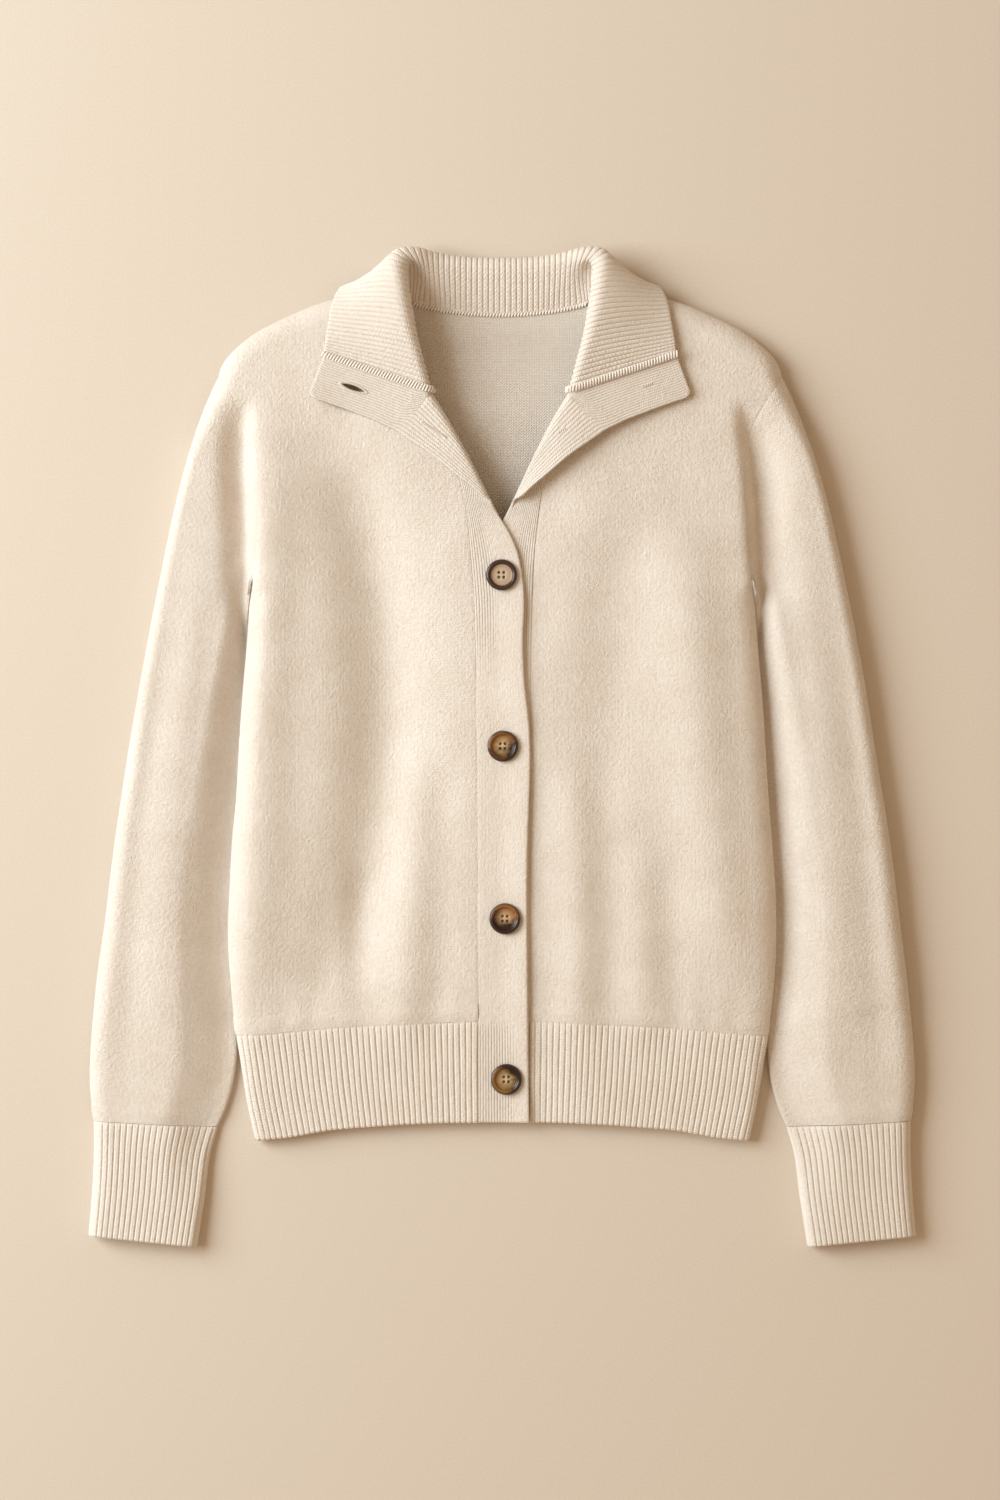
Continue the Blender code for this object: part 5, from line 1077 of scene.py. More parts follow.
def collar_section(t, places):
    """Points (u, y, z) of the collar's visible face across one section, at distance t from its end.

    places run up the stand (0 to 2), round the roll (2 to 5) and down the fall (5 to 8).
    """
    stations = collar_stations()
    i = np.clip(np.searchsorted(stations, t) - 1, 0, len(stations) - 2)
    span = stations[i + 1] - stations[i]

    def at(values):
        slopes = np.gradient(values, stations, axis=0)
        return cubic((t - stations[i]) / span, span, values[i], slopes[i], values[i + 1], slopes[i + 1])

    neck, centre, edge = (at(collar_column(column, MIRROR)) for column in ("neck", "roll", "edge"))
    heading, start = (np.radians(at(collar_column(column, -1.0, 180.0))) for column in ("heading", "start"))
    enter, leave = (np.radians(at(collar_column(column))) for column in ("enter", "leave"))
    radius = at(collar_column("r"))
    level, upright = np.array([np.cos(heading), np.sin(heading), 0.0]), np.array([0.0, 0.0, 1.0])

    def round_roll(turn):
        turn = np.asarray(turn)[:, None]
        return centre + radius * (np.cos(turn) * level + np.sin(turn) * upright)

    first, last = round_roll([enter, leave])
    run_in, run_out = (np.sin(turn) * level - np.cos(turn) * upright for turn in (enter, leave))
    climb, fall = np.linalg.norm(first - neck), np.linalg.norm(edge - last)
    away = np.array([np.cos(start), np.sin(start), 0.35])
    places = np.asarray(places, float)
    up, turned, down = (places[part][:, None] for part in (places < 2.0, (places >= 2.0) & (places <= 5.0),
                                                           places > 5.0))
    stand = cubic(up / 2.0, 1.0, neck, away * climb, first, run_in * climb)
    arc = round_roll((enter + (leave - enter) * (turned - 2.0) / 3.0)[:, 0])
    leaf = cubic((down - 5.0) / 3.0, 1.0, last, run_out * fall, edge, (edge - last) * 0.9)
    return np.concatenate([stand, arc, rest_on_front(leaf)])


def rest_on_front(points, side=-1):
    """Points raised, where needed, to lie one cloth and a small gap above the front."""
    u, y = points[:, 0], points[:, 1]
    floor = front_height(side * u, y) + CLOTH + LEAF_GAP
    beside_neck = soft_step((u - look_up(FRONT_NECK, "y", "u", y)) / 6.0 + 1.0)
    over_front = beside_neck * (shoulder_distance(u, y) > -4.0)
    return np.column_stack([u, y, points[:, 2] + np.maximum(floor - points[:, 2], 0.0) * over_front])


def build_collar(name, materials):
    shares, turns = ribbed(COLLAR_RIBS // 2)
    stand, fall = 2.0 * stepped(20.0, 1.8, end=False)[:-1], 5.0 + 3.0 * stepped(60.0, 2.6, start=False)
    places = np.concatenate([stand, 2.0 + 3.0 * np.linspace(0.0, 1.0, 11)[:-1], fall])
    right = [collar_section(t, places) for t in HALF_GAP + (half_collar() - HALF_GAP) * shares]
    right = np.array(right).transpose(1, 0, 2)
    grid = np.concatenate([right * MIRROR, right[:, -2::-1]], axis=1)
    turns = np.concatenate([turns, COLLAR_RIBS - turns[-2::-1]])
    normals = grid_normals(grid, (len(grid) // 2, len(turns) // 8))
    for column, inside in ((0, 1), (-1, -2)):
        normals[:, column] = square_to_seam(normals[:, column], grid[:, inside] - grid[:, column])
    normals[0] = square_to_seam(normals[0], (grid[1] - grid[0]) * (1.0, 1.0, 0.0))
    cord = rib_cord(turns)
    relief = rib_relief(cord, path_lengths(grid, 0)) * soft_step((grid[..., 2] - 1.0) / 6.0)

    def above_floor(outer, inner):
        inner[..., 2] = np.maximum(inner[..., 2], 0.0)
        return outer, inner

    dress(name, grid, normals, relief, rib_map(turns, grid), materials,
          free=["end"], every=len(RIB_STEPS), adjust=above_floor,
          nap=(1.0, 1.0), groove=1.0 - cord)


# ---------------------------------------------------------------- bands

def band_path(seam, fold, free, radius, leave, lift, side):
    """Dense points of a turned-back section on the band's inner face, and its roll's centre and heading."""
    def under_face(u, y):
        return front_height(side * np.abs(u), y) - CLOTH

    to_free = free - fold
    folded = soft_step((180.0 - leave) / 60.0)
    inward = unit(unit(seam - fold) + folded * to_free / max(np.linalg.norm(to_free), 1e-6))
    leave = np.radians(leave)
    centre = fold + inward * radius * (1.0 if leave < np.pi else -np.cos(leave))
    base = under_face(*fold)
    flat = seam + (centre - seam) * np.linspace(0.0, 1.0, 17)[:-1, None]
    lower = np.column_stack([flat, under_face(flat[:, 0], flat[:, 1])])
    turn = np.linspace(1.5 * np.pi, leave, 25)
    level = centre + inward * radius * np.cos(turn)[:, None]
    arc = np.column_stack([level, base + radius * (1.0 + np.sin(turn))])
    end = np.array([*free, front_height(side * free[0], free[1]) + CLOTH + lift])
    laid = arc[-1] + (end - arc[-1]) * folded * np.linspace(0.0, 1.0, 13)[1:, None]
    corner = np.array([*centre, base + radius]), np.arctan2(*inward[::-1])
    return np.concatenate([lower, arc, laid]), corner


def lapel_turn_row(seam, corner, angle, free, side):
    """Dense points of a row that starts part way round the collar's roll and winds over onto the lapel.

    corner is the roll's centre and heading where it meets the neckline's corner.
    """
    bottom, top, first_heading = (np.radians(COLLAR[column][0]) for column in ("enter", "leave", "heading"))
    turn = np.linspace(angle, top, 17)[:, None]
    passed = (angle - turn) / (bottom - top)
    roll = np.array(COLLAR["roll"][0])
    centre = roll + (corner[0] - roll) * passed
    heading = first_heading + (corner[1] - first_heading) * passed
    level = np.column_stack([np.cos(heading), np.sin(heading), np.zeros(len(heading))])
    arc = centre + COLLAR["r"][0] * (np.cos(turn) * level + np.sin(turn) * (0.0, 0.0, 1.0))
    arc += (seam - arc[0]) * np.linspace(1.0, 0.0, len(arc))[:, None]
    laid = arc[-1] + (free - arc[-1]) * np.linspace(0.0, 1.0, 17)[1:, None]
    return rest_on_front(np.concatenate([arc, laid]), side)


def lapel_seam(places):
    """Points of the lapel's seam with the collar's end, and the way onto the collar at each of them."""
    end, inside = collar_section(0.0, places), collar_section(3.0, places)
    ahead = unit(inside - end)
    return end - ahead * HALF_GAP, ahead


def lapel_end_rows(places, corner_row, corner, side, shares):
    """Rows of the lapel beside the collar's end section, above the neckline's corner."""
    enter, leave = COLLAR["enter"][0], COLLAR["leave"][0]
    rows = []
    for place, start in zip(places, lapel_seam(places)[0]):
        free = np.array([look_up(LAPEL_END, "place", column, place) for column in ("u", "y", "lift")])
        free[2] += look_up(LAPEL_END, "place", "left_lift", place) * (side > 0)
        free[2] += front_height(side * free[0], free[1]) + CLOTH
        if place >= 5.0:
            rows.append(rest_on_front(start + (free - start) * shares[:, None], side))
            continue
        angle = np.radians(enter + (leave - enter) * max(place - 2.0, 0.0) / 3.0)
        row = along(lapel_turn_row(start, corner, angle, free, side), shares)
        row = row + (corner_row - row) * max(1.0 - place / 2.0, 0.0)
        rows.append(row + (start - row[0]) * ((1.0 - shares) ** 6)[:, None])
    return rows


def band_lift(u, y, shares):
    """Rise of the top band towards its free edge, held down round each button."""
    rise = BAND_LIFT * soft_step((shares - 0.4) / 0.6) * soft_step((158.0 - y) / 30.0)
    for button in table_rows(BUTTONS):
        rise = rise * (1.0 - near(np.hypot(u + button["x"], y - button["y"]), 17.0))
    return rise


def band_grid(side):
    """Inner-face points of a band: rows from the hem up and out along the lapel, columns across."""
    climb = band_seam_curve(side)
    shares = stepped(44.0, BAND_COLUMN_STEP)
    low, high = BAND_SEAM["y"][0], BAND_SEAM["y"][-1]
    rows = []
    for y in low + (high - low) * stepped(524.0, 2.6, end=False):
        u = np.interp(y, climb[:, 1], climb[:, 0]) - HALF_GAP
        if y < LAPEL["seam_y"][0]:
            across = u + (-look_up(BAND_FREE, "y", side, y) - u) * shares
            level = np.full(len(across), y)
            under_face = front_height(side * np.maximum(np.abs(across), 0.01), level) - CLOTH
            if side < 0:
                under_face += band_lift(across, level, shares)
            rows.append(np.column_stack([across, level, under_face]))
            continue
        here = {column: look_up(LAPEL, "seam_y", column, y) for column in LAPEL}
        fold, free = np.array([here["fold_u"], here["fold_y"]]), np.array([here["free_u"], here["free_y"]])
        path, corner = band_path(np.array([u, y]), fold, free, here["roll"], here["leave"],
                                 here["lift"] + here["left_lift"] * (side > 0), side)
        rows.append(along(path, shares))
    places = np.concatenate([[0.5, 1.0, 1.5], np.linspace(2.0, 5.0, 12)[:-1],
                             5.0 + 3.0 * stepped(75.0, 2.0, start=False)])
    rows += lapel_end_rows(places, rows[-1], corner, side, shares)
    return np.array(rows) * (side, 1.0, 1.0), shares, places


def buttonhole_outline(rim=0.0):
    """Level points, in metres, round the open buttonhole of the lapel, or round a rim outside it."""
    first, last = np.array(BUTTONHOLE["from"]), np.array(BUTTONHOLE["to"])
    half = np.linalg.norm((last - first) / 2.0)
    run = (last - first) / 2.0 / half
    turn = np.arange(BUTTONHOLE["sides"] + (rim > 0.0)) * 2.0 * np.pi / BUTTONHOLE["sides"]
    reach = np.cos(turn) * (half + rim)
    width = np.sin(turn) * (BUTTONHOLE["half_width"] * np.abs(np.sin(turn)) + rim)
    return ((first + last) / 2.0 + reach[:, None] * run + width[:, None] * (-run[1], run[0])) * MM


def buttonhole_cutter():
    """Upright lens that cuts the open buttonhole out of the lapel."""
    bm = bmesh.new()
    low, high = ([bm.verts.new((x, y, z)) for x, y in buttonhole_outline()] for z in (0.01, 0.05))
    bm.faces.new(low)
    bm.faces.new(high)
    for k in range(len(low)):
        bm.faces.new((low[k - 1], low[k], high[k], high[k - 1]))
    bmesh.ops.recalc_face_normals(bm, faces=bm.faces[:])
    return mesh_from(bm, "cutter")


def build_band(name, side, materials):
    grid, shares, places = band_grid(side)
    normals = grid_normals(grid, (len(grid) // 4, len(shares) // 2), up=-1.0)
    corner = len(grid) - len(places)
    beyond = lapel_seam(places)[1] * (side, 1.0, 1.0)
    across = np.concatenate([outward_of(grid[:, 0])[:corner], beyond])
    normals[:, 0] = square_to_seam(normals[:, 0], across)
    y, row, shares_across = grid[:, :1, 1], np.arange(len(grid))[:, None], shares[None, :]
    on_lapel = soft_step((y - 150.0) / 30.0) + (row >= corner) * 1.0
    beside_seam = soft_step((0.55 - shares_across) / 0.3) * soft_step((y - 40.0) / 60.0)
    on_hem = soft_step((0.85 - shares_across) / 0.3) * soft_step((-195.0 - y) / 14.0)
    # the mask also sets where the lapel wool darkens its rib grooves as painted shade
    mask = np.clip(BAND_RIB_LEAST + beside_seam + on_hem + on_lapel, 0.0, 1.0)
    relief = -BAND_SEAM_DIP * near(path_lengths(grid, 1), 0.9) * (row < corner)
    flat = np.stack(np.meshgrid(shares * BAND_WIDTH, path_lengths(grid, 0).mean(axis=1)), axis=-1) / 10.0
    dress(name, grid, normals, relief, flat, materials,
          free=["start", "end", "last"], inner_relief=relief, nap=(1.0, 1.0), groove=mask,
          cutter=buttonhole_cutter() if side < 0 else None)


# ---------------------------------------------------------------- node helpers

class Wire:
    """Output of a node, reckoned with like a number; an index gives the node's other outputs."""

    def __init__(self, socket):
        self.socket = socket
        self.tree = socket.id_data

    def __getitem__(self, key):
        return Wire(self.socket.node.outputs[key])

    def __add__(self, other):
        return calc("ADD", self, other)

    def __sub__(self, other):
        return calc("SUBTRACT", self, other)

    def __rsub__(self, other):
        return calc("SUBTRACT", other, self)

    def __mul__(self, other):
        return calc("MULTIPLY", self, other)

    def __truediv__(self, other):
        return calc("DIVIDE", self, other)

    def __pow__(self, other):
        return calc("POWER", self, other)

    def __abs__(self):
        return calc("ABSOLUTE", self)


def feed(socket, value):
    """Links a node's input to a wire, or sets it to a constant."""
    if isinstance(value, Wire):
        value.tree.links.new(value.socket, socket)
    else:
        socket.default_value = value


def node_of(tree, kind, *values, settings=None, out=0, **inputs):
    """Wire from a new node, fed with values in order and with inputs by name (spaces written as _)."""
    node = tree.nodes.new(kind)
    for name, value in (settings or {}).items():
        setattr(node, name, value)
    for key, value in [*enumerate(values), *inputs.items()]:
        feed(node.inputs[key.replace("_", " ") if isinstance(key, str) else key], value)
    return Wire(node.outputs[out])


def calc(operation, *values):
    """Wire from a Math node fed with the given values."""
    tree = next(value.tree for value in values if isinstance(value, Wire))
    return node_of(tree, "ShaderNodeMath", *values, settings={"operation": operation})


def blend(share, first, second):
    """Wire from a node that mixes two colours."""
    node = share.tree.nodes.new("ShaderNodeMix")
    node.data_type = "RGBA"
    for index, value in ((0, share), (6, first), (7, second)):
        feed(node.inputs[index], value)
    return Wire(node.outputs[2])


def rgba(colour, share=1.0):
    return (*(share * np.array(colour)), 1.0)


def remap(value, low, high):
    """Wire that runs from 0 to 1 while the value runs from low to high."""
    return node_of(value.tree, "ShaderNodeMapRange", Value=value, From_Min=low, From_Max=high)


def noise(vector, scale, detail=2.0, rough=0.5):
    """Noise whose scale counts swells in a metre."""
    return node_of(vector.tree, "ShaderNodeTexNoise", Vector=vector, Scale=scale, Detail=detail,
                   Roughness=rough)


def stretched(vector, scale):
    return node_of(vector.tree, "ShaderNodeMapping", Vector=vector, Scale=scale)


def axes_of(vector):
    return node_of(vector.tree, "ShaderNodeSeparateXYZ", Vector=vector)


def object_place(tree):
    return node_of(tree, "ShaderNodeTexCoord", out="Object")


def tree_of(kind, name, inputs, outputs):
    """Node tree with named sockets; returns it with a wire from its inputs and its output sockets."""
    tree = bpy.data.node_groups.new(name, kind)
    for way, sockets in (("INPUT", inputs), ("OUTPUT", outputs)):
        for socket, socket_kind, *default in sockets:
            socket_type = "NodeSocket" + socket_kind
            made = tree.interface.new_socket(name=socket, in_out=way, socket_type=socket_type)
            if default:
                made.default_value = default[0]
    given = Wire(tree.nodes.new("NodeGroupInput").outputs[0])
    return tree, given, tree.nodes.new("NodeGroupOutput").inputs


# ---------------------------------------------------------------- shader groups

def nap_group():
    """Brushed wool: mottled colour and the height of its matted fibres, over the object's own space.
    The colour is darker where the fibres lie low, which is painted shade, mixed with random clouds.
    """
    group, given, result = tree_of(
        "ShaderNodeTree", "brushed wool nap",
        [("Place", "Vector"), ("Light", "Color"), ("Dark", "Color"), ("Mottle", "Float", 0.5)],
        [("Color", "Color"), ("Height", "Float")])
    place = given["Place"]
    bend = node_of(group, "ShaderNodeTexNoise", out=1, Vector=place, Scale=140.0, Detail=1.0)
    bent = node_of(group, "ShaderNodeVectorMath", bend, (0.006, 0.006, 0.006), place,
                   settings={"operation": "MULTIPLY_ADD"})
    fibres, crossed = (noise(stretched(bent, scale), 1.0, 2.0, 0.6)
                       for scale in ((760.0, 260.0, 500.0), (240.0, 820.0, 500.0)))
    height = calc("MAXIMUM", fibres, crossed) * 0.6 + noise(place, 420.0, 2.0, 0.6) * 0.8
    clouds = remap(noise(place, 38.0, 3.0, 0.5), 0.3, 0.7)
    # the light and dark wool mix follows the fibres' height, so low fibres get painted shade; the clouds are
    # random mottle
    grain = remap(height, 0.52, 0.95) * 0.62 + clouds * 0.38
    feed(result["Color"], blend((1.0 - grain) * given["Mottle"], given["Light"], given["Dark"]))
    feed(result["Height"], height)
    return group


def stitch_group():
    """Columns of V-shaped knit stitches over a flat map in centimetres."""
    group, given, result = tree_of(
        "ShaderNodeTree", "knit stitches",
        [("Flat Map", "Vector"), ("Column", "Float", 0.2), ("Row", "Float", 0.16)], [("Height", "Float")])
    axes = axes_of(given["Flat Map"])
    leg = abs(calc("FRACT", axes[0] / given["Column"]) * 2.0 - 1.0)
    up = axes[1] / given["Row"] + leg * 0.75
    strand, body = calc("SINE", up * (2.0 * np.pi)), calc("SINE", leg * np.pi)
    feed(result["Height"], remap(strand, -1.0, 1.0) * (body * 0.7 + 0.3))
    return group


def fine_rib_group():
    """Fine ribs that run along the second way of a flat map in centimetres, 1 on their crests."""
    group, given, result = tree_of(
        "ShaderNodeTree", "fine ribs", [("Flat Map", "Vector"), ("Pitch", "Float", 0.24)],
        [("Height", "Float")])
    across = calc("FRACT", axes_of(given["Flat Map"])[0] / given["Pitch"])
    feed(result["Height"], 1.0 - abs(across * 2.0 - 1.0) ** 2.2)
    return group


SHADER_GROUPS = {"brushed wool nap": nap_group, "knit stitches": stitch_group, "fine ribs": fine_rib_group}


def group_wire(tree, name, **inputs):
    """Wire from one of the shader groups, which is made when it is first asked for."""
    group = bpy.data.node_groups.get(name) or SHADER_GROUPS[name]()
    return node_of(tree, "ShaderNodeGroup", settings={"node_tree": group}, **inputs)


# ---------------------------------------------------------------- materials

def new_material(name, **constants):
    """Material whose Principled shader has constants that are the same all over the surface."""
    material = bpy.data.materials.new(name)
    material.use_nodes = True
    shader = material.node_tree.nodes["Principled BSDF"]
    for socket, value in constants.items():
        shader.inputs[socket.replace("_", " ")].default_value = value
    return material, material.node_tree, shader


def finish_surface(shader, colour, height, depth, strength):
    feed(shader.inputs["Base Color"], colour)
    feed(shader.inputs["Normal"], node_of(colour.tree, "ShaderNodeBump", Height=height, Distance=depth,
                                          Strength=strength))


def wool_material(name, mottle, stitch, nap_share, painted_groove_shade, fine_ribs):
    """Knitted wool: stitch holds its column and row pitch and share in the relief.

    The attribute "groove" is the depth of modelled ribs, or with fine_ribs the share of ribs that the
    relief itself draws along the flat map. The colour is darkened as painted shade in the rib grooves
    and in the low parts between the stitch strands.
    """
    material, tree, shader = new_material(name, Roughness=0.92, Specular_IOR_Level=0.25, Sheen_Weight=0.22,
                                          Sheen_Roughness=0.55, Sheen_Tint=(1.0, 0.94, 0.86, 1.0))
    flat = node_of(tree, "ShaderNodeUVMap", settings={"uv_map": FLAT_MAP})
    nap = group_wire(tree, "brushed wool nap", Place=object_place(tree), Light=rgba(settings().wool_light),
                     Dark=rgba(settings().wool_dark), Mottle=mottle)
    knit = group_wire(tree, "knit stitches", Flat_Map=flat, Column=stitch["column"], Row=stitch["row"])
    height = nap["Height"] * nap_share + knit * stitch["share"]
    groove = node_of(tree, "ShaderNodeAttribute", settings={"attribute_name": "groove"}, out="Fac")
    if fine_ribs:
        groove = (1.0 - group_wire(tree, "fine ribs", Flat_Map=flat, Pitch=stitch["column"])) * groove
        height = height - groove * fine_ribs
    # painted shade: darker colour in the rib grooves and between the stitch strands
    painted_shade = groove ** 2.0 * painted_groove_shade + (1.0 - knit) * (stitch["share"] * 0.25)
    colour = blend(painted_shade, nap["Color"], rgba(settings().wool_dark, 0.62))
    finish_surface(shader, colour, height, 0.0009, 0.75)
    return material


def grained_material(name, colour, scale, darker, depth, strength, **constants):
    """Matt material with one fine grain in its colour and relief."""
    material, tree, shader = new_material(name, **constants)
    grain = noise(object_place(tree), scale)
    shade = blend(remap(grain, 0.35, 0.65), rgba(colour, darker), rgba(colour))
    finish_surface(shader, shade, grain, depth, strength)
    return material


def thread_material(name, colour):
    return grained_material(name, colour, 2400.0, 0.88, 0.00015, 0.4, Roughness=0.8, Specular_IOR_Level=0.3,
                            Sheen_Weight=0.15)


def horn_material(name, centre, look):
    """Polished horn: a clouded amber middle, dark brown patches and a dark rim round the button's axis."""
    material, tree, shader = new_material(name, Roughness=0.3, Specular_IOR_Level=0.3, Coat_Weight=0.25,
                                          Coat_Roughness=0.06)
    place = object_place(tree)
    away = node_of(tree, "ShaderNodeVectorMath", place, tuple(centre), settings={"operation": "SUBTRACT"})
    axes = axes_of(away)
    radius = calc("SQRT", axes[0] ** 2.0 + axes[1] ** 2.0)
    cloud = noise(stretched(place, (1.0, 1.6, 1.0)), look["scale"], 3.0, 0.55)
    fine = noise(place, 900.0, 3.0, 0.6)
    lean = axes[0] * look["lean"][0] + axes[1] * look["lean"][1]
    middle = blend(remap(fine, 0.35, 0.65), rgba(look["pale"]), rgba(look["pale"], 0.82))
    amber = blend(remap(radius, *look["middle"]), middle, rgba(look["deep"]))
    spread = (radius / 0.0115) ** 2.0 * 0.3
    body = blend(remap(cloud + lean + spread, *look["patch"]), amber, rgba(look["dark"]))
    rim = remap(radius + fine * 0.0006, *look["rim_from"]) * look["rim"]
    finish_surface(shader, blend(rim, body, rgba(look["edge"])), fine, 0.00002, 0.2)
    return material


# ---------------------------------------------------------------- buttons

def button_height(button):
    """Height of the floor of a button's rest on the band."""
    return float(front_height(np.array(-abs(button["x"])), np.array(button["y"]))) + BUTTON_REST


def turned(profile, sides):
    """Mesh of a profile (radius, height) turned round the upright axis."""
    bm = bmesh.new()
    turns = np.arange(sides) * 2.0 * np.pi / sides
    rings = []
    for radius, height in profile:
        ends = turns[:sides if radius > 1e-6 else 1]
        rings.append([bm.verts.new((radius * np.cos(a), radius * np.sin(a), height)) for a in ends])
    for low, high in zip(rings, rings[1:]):
        for k in range(sides):
            corners = [ring[j % len(ring)] for ring, j in ((low, k), (low, k + 1), (high, k + 1), (high, k))]
            bm.faces.new(list(dict.fromkeys(corners)))
    bmesh.ops.recalc_face_normals(bm, faces=bm.faces[:])
    return bm


def mesh_from(bm, name):
    mesh = bpy.data.meshes.new(name)
    bm.to_mesh(mesh)
    bm.free()
    return mesh


def evaluated_mesh(source):
    """Plain mesh of an object as its modifiers or its curve make it."""
    depsgraph = bpy.context.evaluated_depsgraph_get()
    depsgraph.update()
    return bpy.data.meshes.new_from_object(source.evaluated_get(depsgraph))


def cut_out(piece, mesh):
    """Takes the space of a cutter's mesh out of a piece."""
    cutter = in_scene("cutter", mesh)
    cut = piece.modifiers.new("cut", "BOOLEAN")
    cut.operation, cut.object, cut.solver = "DIFFERENCE", cutter, "EXACT"
    result = evaluated_mesh(piece)
    piece.modifiers.remove(cut)
    piece.data = result
    bpy.data.objects.remove(cutter)


def hole_turn(corner):
    """Level direction from a button's axis to one of its four holes."""
    angle = np.radians(HOLE_TURN) + corner * np.pi / 2.0
    return np.array([np.cos(angle), np.sin(angle)])


def build_button(number, button):
    profile = smooth_curve(list(zip(BUTTON_TURN["radius"], BUTTON_TURN["height"])), steps=4)
    profile[[0, -1], 0] = 0.0
    mesh = mesh_from(turned(profile, BUTTON_TURNED_SIDES), f"horn_{number}")
    mesh.shade_smooth()
    piece = new_piece(f"horn_button_{number}", mesh)
    for corner in range(BUTTON_HOLES):
        drill = turned(list(zip(HOLE_PROFILE["radius"], HOLE_PROFILE["height"])), HOLE_SIDES)
        moved = Vector((*(BUTTON_HOLE_OFFSET * hole_turn(corner)), 0.0))
        bmesh.ops.translate(drill, vec=moved, verts=drill.verts[:])
        cut_out(piece, mesh_from(drill, "drill"))
    place = placed(np.array([button["x"], button["y"], button_height(button)]))
    tilt = np.tan(np.radians(button["tilt"]))
    for vertex in piece.data.vertices:
        x, y, z = vertex.co
        vertex.co = (place[0] + x * MM, place[1] + y * MM, place[2] + (z + x * tilt[0] + y * tilt[1]) * MM)
    piece.data.materials.clear()
    piece.data.materials.append(horn_material(f"horn {number}", place, button))
    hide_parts(f"button_{number}")
    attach(piece, "root")
    # the sunk dark thread paints shade at the bottom of the holes
    thread = new_piece(f"button_thread_{number}", button_thread(number, place))
    thread.data.materials.append(thread_material("button thread sunk", HOLE_SHADE_THREAD_COLOUR))
    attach(thread, "root")


def button_thread(number, place):
    """Mesh of the crossed strands of sewing thread between the four holes."""
    curve = bpy.data.curves.new(f"button_thread_{number}", "CURVE")
    curve.dimensions = "3D"
    curve.bevel_depth = THREAD_RADIUS * MM
    curve.bevel_resolution = 2
    for corner in (0, 1):
        out = hole_turn(corner)
        for shift in (-THREAD_SPREAD, THREAD_SPREAD):
            spline = curve.splines.new("POLY")
            spline.points.add(len(THREAD_ARCH) - 1)
            for point, (reach, height) in zip(spline.points, THREAD_ARCH):
                x, y = out * BUTTON_HOLE_OFFSET * reach + np.array([-out[1], out[0]]) * shift
                point.co = (place[0] + x * MM, place[1] + y * MM, place[2] + height * THREAD_RISE * MM, 1.0)
    holder = in_scene("thread", curve)
    mesh = evaluated_mesh(holder)
    bpy.data.objects.remove(holder)
    mesh.shade_smooth()
    return mesh


# ---------------------------------------------------------------- geometry trees

def vector_of(tree, *xyz):
    return node_of(tree, "ShaderNodeCombineXYZ", *xyz)


def named(tree, name, kind):
    return node_of(tree, "GeometryNodeInputNamedAttribute", settings={"data_type": kind}, out="Attribute",
                   Name=name)


def random_value(seed, low, high, offset):
    """Random number of each element, from the tree's seed and an offset of its own."""
    node = seed.tree.nodes.new("FunctionNodeRandomValue")
    node.data_type = "FLOAT"
    node.inputs[2].default_value, node.inputs[3].default_value = low, high
    feed(node.inputs["Seed"], seed + offset)
    return Wire(node.outputs[1])


def end_tree(tree, instances, material, result):
    """Ends a tree in Realize Instances and Set Material."""
    real = node_of(tree, "GeometryNodeRealizeInstances", Geometry=instances)
    smooth = node_of(tree, "GeometryNodeSetShadeSmooth", Geometry=real)
    feed(result[0], node_of(tree, "GeometryNodeSetMaterial", Geometry=smooth, Material=material))
    return tree


def stitch_tree():
    """Slanting stitches of yarn laid one after the other along a path whose points know which way is up."""
    tree, given, result = tree_of("GeometryNodeTree", "stitch row", [
        ("Geometry", "Geometry"), ("Pitch", "Float"), ("Width", "Float"), ("Rise", "Float"),
        ("Slant", "Float"), ("Yarn Radius", "Float"), ("Material", "Material")], [("Geometry", "Geometry")])
    path = node_of(tree, "GeometryNodeMeshToCurve", Mesh=given["Geometry"])
    even = node_of(tree, "GeometryNodeResampleCurve", settings={"mode": "LENGTH"}, Curve=path,
                   Length=given["Pitch"])
    spots = node_of(tree, "GeometryNodeCurveToPoints", settings={"mode": "EVALUATED"}, Curve=even)
    turn = node_of(tree, "FunctionNodeAxesToRotation", spots["Tangent"], named(tree, "up", "FLOAT_VECTOR"),
                   settings={"primary_axis": "X", "secondary_axis": "Z"})
    half_slant, half_width, low = given["Slant"] * 0.5, given["Width"] * 0.5, given["Rise"] * -0.5
    strand = node_of(tree, "GeometryNodeCurveQuadraticBezier", Resolution=4,
                     Start=vector_of(tree, half_slant * -1.0, half_width * -1.0, low),
                     Middle=vector_of(tree, 0.0, 0.0, given["Rise"] * 2.5),
                     End=vector_of(tree, half_slant, half_width, low))
    section = node_of(tree, "GeometryNodeCurvePrimitiveCircle", Resolution=5, Radius=given["Yarn Radius"])
    stitch = node_of(tree, "GeometryNodeCurveToMesh", Curve=strand, Profile_Curve=section, Fill_Caps=True)
    laid = node_of(tree, "GeometryNodeInstanceOnPoints", Points=spots, Instance=stitch, Rotation=turn)
    return end_tree(tree, laid, given["Material"], result)


